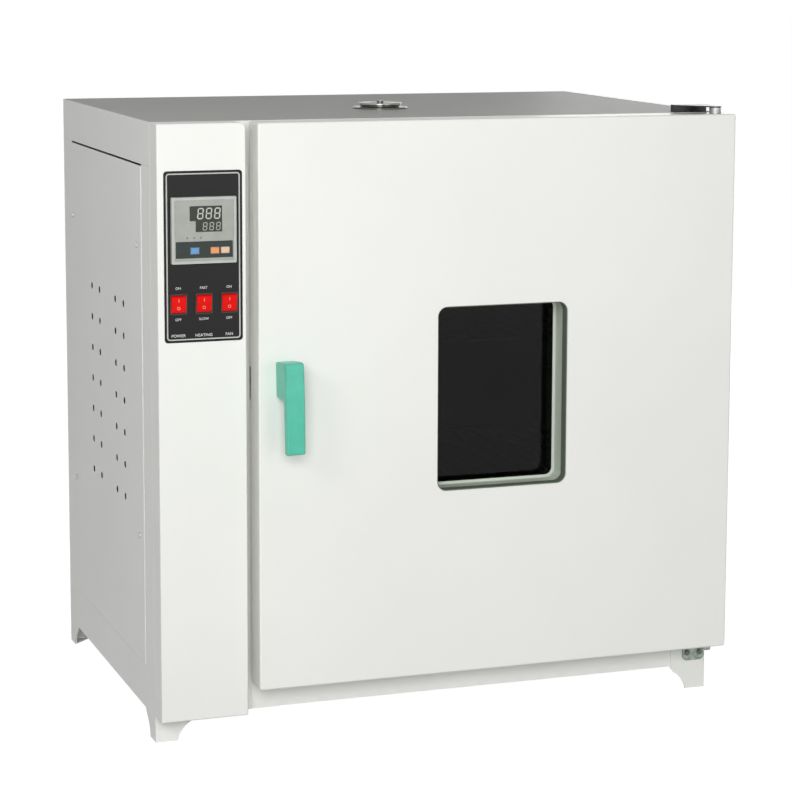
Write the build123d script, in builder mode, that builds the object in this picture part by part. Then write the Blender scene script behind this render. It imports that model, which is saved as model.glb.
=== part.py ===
"""A laboratory drying oven with forced air: a sheet-steel cabinet on four bracket feet, an insulated
stainless chamber, a windowed door hung on its right edge, and a control column down the left side.
Millimetres, +Z up, the front towards -Y, the origin at the centre of the footprint, on the floor."""
import os
from math import cos, degrees, radians, sin

from build123d import *

os.makedirs("parts", exist_ok=True)

# Cabinet
BODY_WIDTH = 896
BODY_DEPTH = 602
BODY_HEIGHT = 878
SHEET = 1.5
SEAM = 0.3
BEND = 4
FRONT_RETURN = 53
REAR_RETURN = 62
COVER_BAND = 64
SKIRT_HEIGHT = 66
COVER_SLOT = 3
COVER_SHEET = 1.2
COVER_PROUD = 0.9
COVER_BEVEL = 0.6
COVER_SEAM = 0.8

# Feet
FOOT_HEIGHT = 38
FOOT_TOP_LENGTH = 60
FOOT_PAD_LENGTH = 34
FOOT_SHEET = 2
FOOT_INSET = 0.8

# Vents and screws of the side covers
VENT_DIAMETER = 10.5
VENT_ROWS = 7
VENT_ROW_PITCH = 49.3
VENT_COLUMN_PITCH = 55
VENT_PAIR_PITCH = 164
VENT_SHIFT = (-14.5, 7.4)
SCREW_HEAD = 9
SCREW_HEAD_RISE = 2.2
SCREW_SHANK = 4
SCREW_LENGTH = 6
SCREW_HEAD_BEVEL = 1.2
SCREW_IN_FRONT = 28.2
SCREW_IN_BACK = 9.2
SCREW_IN_LOW = 190.7
SCREW_IN_HIGH = 118

# Control column on the front, at the left
PANEL_WIDTH = 131
PANEL_DEPTH = 41.5
PANEL_LIFT = 3.6
PANEL_CORNER = 9
PANEL_BEND = 2.4
PLATE_WIDTH = 115.5
PLATE_HEIGHT = 246.5
PLATE_THICKNESS = 0.8
PLATE_CORNER = 5
PLATE_CENTRE_X = 67.2
PLATE_DROP = 190.5

# Temperature controller in the column
METER_SIZE = 96
METER_RISE = 6
METER_BODY = 91.5
METER_BODY_DEPTH = 72
METER_LIFT = 38.2
FACE_SIZE = 87
FACE_THICKNESS = 1.2
FACE_RECESS = 1.5
SLIP = 0.2
UPPER_WINDOW = (47.7, 21.5)
LOWER_WINDOW = (38.9, 15.8)
WINDOW_RIGHT = 26.4
WINDOW_TOP = 35
KEY_SIZE = (12, 8.5)
KEY_RISE = 1
KEY_TRAVEL = 0.6
KEY_POCKET = 4
KEY_LIFT = -29
KEY_PLACES = {"set_key": -14, "raise_key": 15.5, "lower_key": 30.7}

# Rocker switches under the controller
SWITCH_NAMES = ("power", "heating", "fan")
SWITCH_PITCH = 37.5
SWITCH_DROP = 67.5
SWITCH_BEZEL = (26, 30.5)
SWITCH_BODY = (24.8, 28.6)
SWITCH_BODY_DEPTH = 24
SWITCH_RISE = 1.8
SWITCH_CUT_SLIP = 0.4
ROCKER_WIDTH = 21.6
ROCKER_RADIUS = 12.9
ROCKER_TILT = 8
ROCKER_CREST = 6
ROCKER_SLIP = 0.3
ROCKER_PIN = 3
ROCKER_PIN_LENGTH = 1
PIVOT_DEPTH = 2.6

# Door
DOOR_GAP = 14
DOOR_OVERHANG = 6.7
DOOR_LIFT = 43
DOOR_THICKNESS = 44
DOOR_STANDOFF = 12
DOOR_CORNER = 4
DOOR_BEND = 3
PLUG_MARGIN = 20
PLUG_RISE = 10.5
GASKET_MARGIN = 25
GASKET_WIDTH = 14
GASKET_CLEARANCE = 0.3
GASKET_ROUND = 3
WINDOW_WIDTH = 208
WINDOW_HEIGHT = 278
WINDOW_RISE = 1.6
WINDOW_CORNER = 15
WINDOW_RETURN = 17
SLEEVE_SHEET = 1.2
SLEEVE_LIP = 4
TRIM_SHEET = 1.5
GLASS_THICKNESS = 4
GLASS_MARGIN = 13
GLASS_LIP = 5

# Hinges
HINGE_INSET = 28
HINGE_FORWARD = 40
PIN_DIAMETER = 8
PIN_REACH = 14
BUSH_DIAMETER = 18
SPIGOT_DIAMETER = 14
RUNNING_FIT = 0.05
TOP_HINGE_RISE = 9.5
HINGE_PLATE = 2
HINGE_BLOCK_WIDTH = 54
HINGE_BLOCK_DEPTH = 14
HINGE_EYE = 9.5
LOW_HINGE_WIDTH = 36.5
LOW_HINGE_INSET = 4
LOW_HINGE_DROP = 30.5
LOW_HINGE_SHEET = 2.5
LOW_HINGE_GAP = 4
HINGE_SCREW_SPAN = 21.5
HINGE_SCREW_DROP = 18

# Handle and latch
HANDLE_CENTRE_X = 184.3
HANDLE_RISE = 45.5
HANDLE_STANDOFF = 52
HANDLE_WIDTH = 28
HANDLE_GRIP = 12
HANDLE_BOW = 2
HANDLE_LEAN = 1
BOSS_HEIGHT = 52
HANDLE_LENGTH = 134
HANDLE_OVERTOP = 4
HANDLE_ROUND = 4
SHAFT_DIAMETER = 12
LATCH_BUSH = 18
TONGUE_LENGTH = 34
TONGUE_WIDTH = 16
TONGUE_SHEET = 4
TONGUE_DEPTH = 6
POCKET_SLIP = 3.5
KEEPER_SHEET = 2
KEEPER_HEIGHT = 34
KEEPER_DEPTH = 16

# Chamber, air duct and insulation
CHAMBER_SIDE_LAP = 103.85
CHAMBER_END_LAP = 117.5
CHAMBER_BACK_WALL = 130
THROAT = 22
DUCT_DEPTH = 45
LINER_SHEET = 1.2
LINER_FLANGE = 12
COMPARTMENT_WIDTH = 143.5
DUCT_SLOT = (30, 7)
DUCT_SLOT_COLUMNS = 5
DUCT_SLOT_ROWS = 4
DUCT_SLOT_PITCH = (70, 22)
INTAKE_DIAMETER = 112
INTAKE_BAR = 8

# Fan, heater and probe
FAN_RADIUS = 85
FAN_EYE_RADIUS = 60
FAN_WIDTH = 30
FAN_BLADES = 20
FAN_SHEET = 1.2
FAN_SWEEP = 24
FAN_WALL_GAP = 5
FAN_HUB = 26
FAN_SHAFT = 12
MOTOR_DIAMETER = 104
MOTOR_LENGTH = 88
MOTOR_BELL = 60
MOTOR_SHEET = 2.5
STANDOFF_LENGTH = 28
STANDOFF_DIAMETER = 12
STANDOFF_SPAN = 92
MOTOR_PLATE = 124
HEATER_RADIUS = 106
HEATER_TUBE = 8
HEATER_GAP_ANGLE = 16
HEATER_TAIL = 14
PROBE_DIAMETER = 6
PROBE_ROUND = 2.4
PROBE_REACH = 45
PROBE_TAIL = 14
PROBE_COLLAR = 14
PROBE_BACK = 150
PROBE_RISE = 190
HOLE_SLIP = 0.3

# Shelves and their racks
RACK_SHEET = 1.5
RACK_STRIP = 18
RACK_RUNNER = 12
RACK_SET_BACK = 60
SHELF_HEIGHTS = {"lower_shelf": 150, "upper_shelf": 370}
SPARE_RUNNERS = (260, 480)
SHELF_END_GAP = 15
SHELF_ROD = 6
SHELF_SIDE_ROD = 5
SHELF_WIRE = 4
SHELF_WIRES = 15
SHELF_SIDE_GAP = 3
SHELF_LAP = 1

# Exhaust on the top
EXHAUST_BACK = 225
EXHAUST_SHIFT = -24
EXHAUST_TUBE = 40
EXHAUST_WALL = 1.5
EXHAUST_FLANGE = 86
EXHAUST_NECK = 62
EXHAUST_RIM = 2.4
EXHAUST_RISE = 5.5
EXHAUST_WEB = 1.5
EXHAUST_DISC = 68
EXHAUST_DISC_SHEET = 3
EXHAUST_GAP = 0.3
EXHAUST_PORT = 11
EXHAUST_PORT_RADIUS = 11.5
EXHAUST_PORTS = 4
EXHAUST_PIN = 5
EXHAUST_KNOB = 11
EXHAUST_KNOB_RISE = 2.5

# Electrical pieces and the mains gland
GLAND_DIAMETER = 24
GLAND_REACH = 18
GLAND_BORE = 9
GLAND_HOLE = 14.4
GLAND_X = 72
GLAND_Z = 90
TERMINAL_SIZE = (22, 96, 26)
TERMINAL_WAYS = 6
RELAY_SIZE = (36, 62, 80)
RELAY_FINS = 7
ELECTRICS_IN = 132

# Planes worked out from the sizes above
screw_proud = SCREW_HEAD_RISE + COVER_PROUD
x_left = (screw_proud - BODY_WIDTH - DOOR_OVERHANG) / 2
x_right = x_left + BODY_WIDTH
x_body = (x_left + x_right) / 2
front_reach = DOOR_STANDOFF + DOOR_THICKNESS + HANDLE_STANDOFF
y_front = (front_reach - BODY_DEPTH - GLAND_REACH) / 2
y_back = y_front + BODY_DEPTH
y_body = (y_front + y_back) / 2
z_low = FOOT_HEIGHT
z_top = FOOT_HEIGHT + BODY_HEIGHT
z_band = z_top - COVER_BAND

door_left = x_left + PANEL_WIDTH + DOOR_GAP
door_right = x_right + DOOR_OVERHANG
door_low = z_low + DOOR_LIFT
door_mid_x = (door_left + door_right) / 2
door_mid_z = (door_low + z_top) / 2
window_middle = (door_mid_x, door_mid_z + WINDOW_RISE)
y_door_back = y_front - DOOR_STANDOFF
y_door = y_door_back - DOOR_THICKNESS
hinge_x = door_right - HINGE_INSET
hinge_y = y_front - HINGE_FORWARD

chamber_left = door_left + CHAMBER_SIDE_LAP
chamber_right = door_right - CHAMBER_SIDE_LAP
chamber_low = door_low + CHAMBER_END_LAP
chamber_high = z_top - CHAMBER_END_LAP
chamber_width = chamber_right - chamber_left
chamber_height = chamber_high - chamber_low
chamber_front = y_front + THROAT
chamber_back = y_back - CHAMBER_BACK_WALL
liner_left = chamber_left - DUCT_DEPTH
partition_left = x_left + COMPARTMENT_WIDTH
partition_right = partition_left + SHEET
fan_y = (chamber_front + chamber_back) / 2
fan_z = door_mid_z


def block(x0, x1, y0, y1, z0, z1, mode=Mode.ADD):
    """A rectangular block between two corners, in the part being made."""
    with Locations(((x0 + x1) / 2, (y0 + y1) / 2, (z0 + z1) / 2)):
        Box(x1 - x0, y1 - y0, z1 - z0, mode=mode)


def rod(start, end, diameter, mode=Mode.ADD):
    """A round rod between two points, in the part being made."""
    run = Vector(*end) - Vector(*start)
    with Locations(Plane(origin=start, z_dir=run)):
        Cylinder(diameter / 2, run.length, align=(Align.CENTER, Align.CENTER, Align.MIN), mode=mode)


def front_plane(y):
    """A sketch plane facing the front at depth y: its x runs along X and its y along Z."""
    return Plane(origin=(0, y, 0), x_dir=(1, 0, 0), z_dir=(0, -1, 0))


def side_plane(x):
    """A sketch plane facing the right at width x: its x runs along Y and its y along Z."""
    return Plane(origin=(x, 0, 0), x_dir=(0, 1, 0), z_dir=(1, 0, 0))


# Feet: four corner brackets, each with a curved bite out of both faces, a pad and a top flange
foot_left, foot_right = x_left + FOOT_INSET, x_right - FOOT_INSET
foot_front, foot_back = y_front + FOOT_INSET, y_back - FOOT_INSET
with BuildPart() as feet:
    for x_corner, x_way in ((foot_left, 1), (foot_right, -1)):
        for y_corner, y_way in ((foot_front, 1), (foot_back, -1)):
            corner = Plane(origin=(x_corner, y_corner, 0), x_dir=(x_way, 0, 0), z_dir=(0, 0, 1))
            side = y_way * x_way
            with BuildSketch(corner):
                with BuildLine():
                    Polyline(
                        (0, 0),
                        (FOOT_TOP_LENGTH, 0),
                        (FOOT_TOP_LENGTH, side * FOOT_SHEET),
                        (FOOT_SHEET, side * FOOT_SHEET),
                        (FOOT_SHEET, side * FOOT_TOP_LENGTH),
                        (0, side * FOOT_TOP_LENGTH),
                        close=True,
                    )
                make_face()
            extrude(amount=FOOT_HEIGHT)
            for reach, z in ((FOOT_PAD_LENGTH, 0), (FOOT_TOP_LENGTH - FOOT_SHEET, FOOT_HEIGHT - FOOT_SHEET)):
                with BuildSketch(corner.offset(z)):
                    with BuildLine():
                        Polyline((0, 0), (reach, 0), (0, side * reach), close=True)
                    make_face()
                extrude(amount=FOOT_SHEET)
    bite_line = FOOT_TOP_LENGTH - FOOT_PAD_LENGTH
    bite_foot = (FOOT_PAD_LENGTH, 0.1 * FOOT_HEIGHT)
    bite_waist = (FOOT_PAD_LENGTH + 0.27 * bite_line, 0.46 * FOOT_HEIGHT)
    bite_head = (FOOT_PAD_LENGTH + 0.75 * bite_line, 0.74 * FOOT_HEIGHT)
    front_bites = [
        (Plane(origin=(x, y_front, 0), x_dir=(way, 0, 0), z_dir=(0, -way, 0)), BODY_WIDTH, BODY_DEPTH)
        for x, way in ((foot_left, 1), (foot_right, -1))
    ]
    side_bites = [
        (Plane(origin=(x_left, y, 0), x_dir=(0, way, 0), z_dir=(way, 0, 0)), BODY_DEPTH, BODY_WIDTH)
        for y, way in ((foot_front, 1), (foot_back, -1))
    ]
    for bite_plane, run, depth in front_bites + side_bites:
        with BuildSketch(bite_plane):
            with BuildLine():
                Line((FOOT_PAD_LENGTH, 0), bite_foot)
                ThreePointArc(bite_foot, bite_waist, bite_head)
                Polyline(
                    bite_head,
                    (FOOT_TOP_LENGTH, FOOT_HEIGHT - FOOT_SHEET),
                    (run / 2, FOOT_HEIGHT - FOOT_SHEET),
                    (run / 2, 0),
                    (FOOT_PAD_LENGTH, 0),
                )
            make_face()
        extrude(amount=depth, both=True, mode=Mode.SUBTRACT)
feet.part.label = "feet"
export_step(feet.part, "parts/feet.step")

# Base tray: floor of the cabinet with side skirts and front and rear rails
tray_front = y_front + SHEET + SEAM
tray_back = y_back - SHEET - SEAM
tray_left = x_left + SHEET + SEAM
tray_right = x_right - SHEET - SEAM
skirt_front = y_front + FRONT_RETURN + SEAM
skirt_back = y_back - REAR_RETURN - SEAM
rail_high = z_low + DOOR_LIFT + COVER_BAND / 4
with BuildPart() as base_tray:
    block(tray_left, tray_right, tray_front, tray_back, z_low, z_low + SHEET)
    block(x_left, x_right, skirt_front, skirt_back, z_low, z_low + SHEET)
    block(x_left, x_left + SHEET, skirt_front, skirt_back, z_low, z_low + SKIRT_HEIGHT)
    block(x_right - SHEET, x_right, skirt_front, skirt_back, z_low, z_low + SKIRT_HEIGHT)
    block(tray_left, tray_right, tray_front, tray_front + SHEET, z_low, rail_high)
    block(tray_left, tray_right, tray_back - SHEET, tray_back, z_low, rail_high)
base_tray.part.label = "base_tray"
export_step(base_tray.part, "parts/base_tray.step")

# Places of the pieces that pass through the front sheet and the partition
plate_x = x_left + PLATE_CENTRE_X
plate_z = z_top - PLATE_DROP
meter_z = plate_z + METER_LIFT
switch_z = plate_z - SWITCH_DROP
switch_places = [plate_x + SWITCH_PITCH * n for n in (-1, 0, 1)]
latch_x = x_left + HANDLE_CENTRE_X
latch_z = door_mid_z + HANDLE_RISE
meter_cut = METER_BODY + 2 * SWITCH_CUT_SLIP
switch_cut = (SWITCH_BODY[0] + 2 * SWITCH_CUT_SLIP, SWITCH_BODY[1] + 2 * SWITCH_CUT_SLIP)
tongue_tip = latch_x - TONGUE_LENGTH
pocket_left = tongue_tip - POCKET_SLIP
pocket_right = latch_x + TONGUE_WIDTH / 2 + POCKET_SLIP
pocket_low = latch_z - TONGUE_LENGTH - POCKET_SLIP
pocket_high = latch_z + TONGUE_WIDTH / 2 + POCKET_SLIP

# Front frame: the front sheet with side returns, the chamber throat, the latch pocket and a low notch
notch_left = x_left + PANEL_WIDTH + FOOT_TOP_LENGTH
notch_right = x_right - FOOT_TOP_LENGTH
with BuildPart() as front_frame:
    with BuildSketch(Plane.XY.offset(z_low)):
        with Locations((x_body, y_front + FRONT_RETURN / 2)):
            Rectangle(BODY_WIDTH, FRONT_RETURN)
    extrude(amount=z_band - SEAM - z_low)
    fillet(front_frame.edges().filter_by(Axis.Z).group_by(Axis.Y)[0], radius=BEND)
    block(x_left + SHEET, x_right - SHEET, y_front + SHEET, y_back, z_low - 1, z_band, mode=Mode.SUBTRACT)
    with BuildSketch(front_plane(y_front + SHEET)):
        with Locations((door_mid_x, door_mid_z)):
            Rectangle(chamber_width + 2 * SHEET, chamber_height + 2 * SHEET)
    extrude(amount=-(THROAT - SHEET - SEAM))
    with BuildSketch(front_plane(y_front)):
        with Locations((door_mid_x, door_mid_z)):
            Rectangle(chamber_width, chamber_height)
        with Locations((plate_x, meter_z)):
            Rectangle(meter_cut, meter_cut)
        with Locations([(x, switch_z) for x in switch_places]):
            Rectangle(*switch_cut)
        with Locations(((pocket_left + pocket_right) / 2, (pocket_low + pocket_high) / 2)):
            Rectangle(pocket_right - pocket_left, pocket_high - pocket_low)
        with Locations(((notch_left + notch_right) / 2, (z_low + rail_high - SHEET) / 2)):
            Rectangle(notch_right - notch_left, rail_high - SHEET - z_low)
    extrude(amount=-THROAT, mode=Mode.SUBTRACT)
    for x in (pocket_left, pocket_right + SEAM):
        block(x - SEAM, x, y_front - 1, y_front + SHEET + 1, z_low - 1, z_band, mode=Mode.SUBTRACT)
    for z in (chamber_low + SEAM, chamber_high):
        block(pocket_right, x_right + 1, y_front - 1, y_front + FRONT_RETURN, z - SEAM, z, Mode.SUBTRACT)
front_frame.part.label = "front_frame"
export_step(front_frame.part, "parts/front_frame.step")

# Rear panel: the back sheet with side returns and the mains gland's hole
gland_x = x_left + GLAND_X
gland_z = z_low + GLAND_Z
with BuildPart() as rear_panel:
    with BuildSketch(Plane.XY.offset(z_low)):
        with Locations((x_body, y_back - REAR_RETURN / 2)):
            Rectangle(BODY_WIDTH, REAR_RETURN)
    extrude(amount=z_band - SEAM - z_low)
    fillet(rear_panel.edges().filter_by(Axis.Z).group_by(Axis.Y)[-1], radius=BEND)
    block(x_left + SHEET, x_right - SHEET, y_front, y_back - SHEET, z_low - 1, z_band, mode=Mode.SUBTRACT)
    rod((gland_x, y_back - 2 * SHEET, gland_z), (gland_x, y_back, gland_z), GLAND_HOLE, Mode.SUBTRACT)
rear_panel.part.label = "rear_panel"
export_step(rear_panel.part, "parts/rear_panel.step")

# Top cover: a cap with a flange all round and the exhaust hole
exhaust_x = x_body + EXHAUST_SHIFT
exhaust_y = y_front + EXHAUST_BACK
with BuildPart() as top_cover:
    with BuildSketch(Plane.XY.offset(z_band)):
        with Locations((x_body, y_body)):
            Rectangle(BODY_WIDTH, BODY_DEPTH)
    extrude(amount=COVER_BAND)
    fillet(top_cover.edges().filter_by(Axis.Z), radius=BEND)
    fillet(top_cover.faces().sort_by(Axis.Z)[-1].edges(), radius=SHEET)
    block(
        x_left + SHEET, x_right - SHEET, y_front + SHEET, y_back - SHEET,
        z_band - 1, z_top - SHEET, mode=Mode.SUBTRACT,
    )
    with Locations((exhaust_x, exhaust_y, z_top)):
        Hole(EXHAUST_TUBE / 2 + HOLE_SLIP, depth=2 * SHEET)
top_cover.part.label = "top_cover"
export_step(top_cover.part, "parts/top_cover.step")

# Side covers: plain on the right, with columns of vent holes on the left
cover_front = y_front + FRONT_RETURN + COVER_SEAM
cover_back = y_back - REAR_RETURN - COVER_SEAM
cover_low = z_low + SKIRT_HEIGHT + COVER_SEAM
cover_high = z_band - COVER_SLOT
cover_middle = ((cover_front + cover_back) / 2, (cover_low + cover_high) / 2)
screw_spots = [
    (y, z)
    for y in (cover_front + SCREW_IN_FRONT, cover_back - SCREW_IN_BACK)
    for z in (cover_low + SCREW_IN_LOW, cover_high - SCREW_IN_HIGH)
]
vent_spots = [
    (cover_middle[0] + VENT_SHIFT[0] + pair * VENT_PAIR_PITCH / 2 + column * VENT_COLUMN_PITCH / 2,
     cover_middle[1] + VENT_SHIFT[1] + (row - (VENT_ROWS - 1) / 2) * VENT_ROW_PITCH)
    for pair in (-1, 1)
    for column in (-1, 1)
    for row in range(VENT_ROWS)
]
with BuildPart() as left_side_cover:
    with BuildSketch(side_plane(x_left - COVER_PROUD)):
        with Locations(cover_middle):
            Rectangle(cover_back - cover_front, cover_high - cover_low)
        with Locations(vent_spots):
            Circle(VENT_DIAMETER / 2, mode=Mode.SUBTRACT)
        with Locations(screw_spots):
            Circle(SCREW_SHANK / 2 + HOLE_SLIP, mode=Mode.SUBTRACT)
    extrude(amount=COVER_SHEET)
    chamfer(left_side_cover.faces().sort_by(Axis.X)[0].outer_wire().edges(), length=COVER_BEVEL)
left_side_cover.part.label = "left_side_cover"
export_step(left_side_cover.part, "parts/left_side_cover.step")

with BuildPart() as right_side_cover:
    with BuildSketch(side_plane(x_right + COVER_PROUD - COVER_SHEET)):
        with Locations(cover_middle):
            Rectangle(cover_back - cover_front, cover_high - cover_low)
        with Locations(screw_spots):
            Circle(SCREW_SHANK / 2 + HOLE_SLIP, mode=Mode.SUBTRACT)
    extrude(amount=COVER_SHEET)
    chamfer(right_side_cover.faces().sort_by(Axis.X)[-1].outer_wire().edges(), length=COVER_BEVEL)
right_side_cover.part.label = "right_side_cover"
export_step(right_side_cover.part, "parts/right_side_cover.step")

# Cover screws: eight domed heads with their shanks
with BuildPart() as cover_screws:
    for x_face, way in ((x_left - COVER_PROUD, -1), (x_right + COVER_PROUD, 1)):
        for y, z in screw_spots:
            rod((x_face, y, z), (x_face + way * SCREW_HEAD_RISE, y, z), SCREW_HEAD)
            rod((x_face, y, z), (x_face - way * SCREW_LENGTH, y, z), SCREW_SHANK)
    left_rims = cover_screws.edges().filter_by(GeomType.CIRCLE).group_by(Axis.X)[0]
    right_rims = cover_screws.edges().filter_by(GeomType.CIRCLE).group_by(Axis.X)[-1]
    chamfer(left_rims + right_rims, length=SCREW_HEAD_BEVEL)
cover_screws.part.label = "cover_screws"
export_step(cover_screws.part, "parts/cover_screws.step")

# Chamber liner: a stainless floor, roof, back and sides, with an outward flange round the mouth
liner_out_left = liner_left - LINER_SHEET
liner_out_right = chamber_right + LINER_SHEET
liner_out_low = chamber_low - LINER_SHEET
liner_out_high = chamber_high + LINER_SHEET
liner_out_back = chamber_back + LINER_SHEET
heater_angle = radians(HEATER_GAP_ANGLE / 2)
heater_lap = HEATER_TUBE / 2 / HEATER_RADIUS
heater_ends = [
    (fan_y + way * HEATER_RADIUS * sin(heater_angle), fan_z - HEATER_RADIUS * cos(heater_angle))
    for way in (-1, 1)
]
probe_spot = (chamber_back - PROBE_BACK, fan_z + PROBE_RISE)
with BuildPart() as chamber_liner:
    side_low, side_high = chamber_low + SEAM, chamber_high - SEAM
    flange_back = chamber_front + LINER_SHEET
    flange_reach = LINER_SHEET + LINER_FLANGE
    for low, high, flange_low in (
        (liner_out_low, chamber_low, liner_out_low - LINER_FLANGE),
        (chamber_high, liner_out_high, chamber_high),
    ):
        block(liner_out_left, liner_out_right, chamber_front, liner_out_back, low, high)
        block(
            liner_out_left - LINER_FLANGE, liner_out_right + LINER_FLANGE, chamber_front, flange_back,
            flange_low, flange_low + flange_reach,
        )
    for left, right, flange_left in (
        (liner_out_left, liner_left, liner_out_left - LINER_FLANGE),
        (chamber_right, liner_out_right, chamber_right),
    ):
        block(left, right, chamber_front, chamber_back - SEAM, side_low, side_high)
        block(flange_left, flange_left + flange_reach, chamber_front, flange_back, side_low, side_high)
    block(liner_out_left, liner_out_right, chamber_back, liner_out_back, side_low, side_high)
    wall = (liner_out_left - 1, liner_left + 1)
    rod((wall[0], fan_y, fan_z), (wall[1], fan_y, fan_z), FAN_SHAFT + 4, Mode.SUBTRACT)
    for y, z in heater_ends:
        rod((wall[0], y, z), (wall[1], y, z), HEATER_TUBE + 2 * HOLE_SLIP, Mode.SUBTRACT)
    rod((wall[0], *probe_spot), (wall[1], *probe_spot), PROBE_DIAMETER + 2 * HOLE_SLIP, Mode.SUBTRACT)
    with Locations((exhaust_x, exhaust_y, liner_out_high)):
        Hole(EXHAUST_TUBE / 2 - EXHAUST_WALL, depth=2 * LINER_SHEET)
chamber_liner.part.label = "chamber_liner"
export_step(chamber_liner.part, "parts/chamber_liner.step")

# Insulation: four slabs above round the exhaust tube, one below, and one on each side and the back
wool_left = partition_right + SEAM
wool_right = x_right + COVER_PROUD - SCREW_LENGTH - SEAM
wool_front = chamber_front + LINER_SHEET + SEAM
wool_back = tray_back - SHEET - SEAM
wool_low = z_low + SHEET + SEAM
wool_high = z_top - SHEET - SEAM
tube_clear = EXHAUST_TUBE / 2 + HOLE_SLIP
with BuildPart() as insulation_top:
    over_liner = (liner_out_high + SEAM, wool_high)
    block(wool_left, exhaust_x - tube_clear, wool_front, wool_back, *over_liner)
    block(exhaust_x + tube_clear, wool_right, wool_front, wool_back, *over_liner)
    strip_left = exhaust_x - tube_clear + SEAM
    strip_right = exhaust_x + tube_clear - SEAM
    block(strip_left, strip_right, wool_front, exhaust_y - tube_clear, *over_liner)
    block(strip_left, strip_right, exhaust_y + tube_clear, wool_back, *over_liner)
insulation_top.part.label = "insulation_top"
export_step(insulation_top.part, "parts/insulation_top.step")

with BuildPart() as insulation_bottom:
    block(wool_left, wool_right, wool_front, wool_back, wool_low, liner_out_low - SEAM)
insulation_bottom.part.label = "insulation_bottom"
export_step(insulation_bottom.part, "parts/insulation_bottom.step")

with BuildPart() as insulation_sides:
    block(wool_left, liner_out_left - SEAM, wool_front, wool_back, liner_out_low, liner_out_high)
    block(liner_out_right + SEAM, wool_right, wool_front, wool_back, liner_out_low, liner_out_high)
    block(
        liner_out_left, liner_out_right, liner_out_back + SEAM, wool_back, liner_out_low, liner_out_high,
    )
    wall = (wool_left - 1, liner_out_left)
    rod((wall[0], fan_y, fan_z), (wall[1], fan_y, fan_z), FAN_SHAFT + 8, Mode.SUBTRACT)
    for y, z in heater_ends:
        rod((wall[0], y, z), (wall[1], y, z), HEATER_TUBE + 4 * HOLE_SLIP, Mode.SUBTRACT)
    rod((wall[0], *probe_spot), (wall[1], *probe_spot), PROBE_DIAMETER + 4 * HOLE_SLIP, Mode.SUBTRACT)
insulation_sides.part.label = "insulation_sides"
export_step(insulation_sides.part, "parts/insulation_sides.step")

# Partition between the control compartment and the insulation
with BuildPart() as partition:
    with BuildSketch(side_plane(partition_left)):
        with Locations(((tray_front + tray_back) / 2, (wool_low + wool_high) / 2)):
            Rectangle(tray_back - tray_front - 2 * SHEET - 2 * SEAM, wool_high - wool_low)
        with Locations((fan_y, fan_z)):
            Circle(FAN_SHAFT / 2 + 3, mode=Mode.SUBTRACT)
        with Locations(heater_ends):
            Circle(HEATER_TUBE / 2 + HOLE_SLIP, mode=Mode.SUBTRACT)
        with Locations(probe_spot):
            Circle(PROBE_DIAMETER / 2 + HOLE_SLIP, mode=Mode.SUBTRACT)
    extrude(amount=SHEET)
partition.part.label = "partition"
export_step(partition.part, "parts/partition.step")

# Air duct plate: stands off the liner's left wall, with an intake grille and outlet slots
duct_face = chamber_left
duct_front = chamber_front + LINER_SHEET + SEAM
duct_back = chamber_back - SEAM
slot_rise = (chamber_height / 2 + INTAKE_DIAMETER) / 2 + DUCT_SLOT_PITCH[1]
with BuildPart() as air_duct_plate:
    block(
        duct_face - LINER_SHEET, duct_face, duct_front, duct_back, chamber_low + SEAM, chamber_high - SEAM,
    )
    for edge in (duct_front, duct_back - LINER_SHEET):
        block(
            liner_left + SEAM, duct_face, edge, edge + LINER_SHEET, chamber_low + SEAM, chamber_high - SEAM,
        )
    with BuildSketch(side_plane(duct_face)):
        with Locations((fan_y, fan_z)):
            Circle(INTAKE_DIAMETER / 2)
            Rectangle(INTAKE_DIAMETER, INTAKE_BAR, mode=Mode.SUBTRACT)
            Rectangle(INTAKE_BAR, INTAKE_DIAMETER, mode=Mode.SUBTRACT)
            Circle(INTAKE_DIAMETER / 6, mode=Mode.SUBTRACT)
        with Locations((fan_y, fan_z + slot_rise), (fan_y, fan_z - slot_rise)):
            with GridLocations(*DUCT_SLOT_PITCH, DUCT_SLOT_COLUMNS, DUCT_SLOT_ROWS):
                Rectangle(*DUCT_SLOT)
        with Locations(probe_spot):
            Circle(PROBE_DIAMETER / 2 + HOLE_SLIP)
    extrude(amount=-LINER_SHEET, mode=Mode.SUBTRACT)
air_duct_plate.part.label = "air_duct_plate"
export_step(air_duct_plate.part, "parts/air_duct_plate.step")

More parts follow.
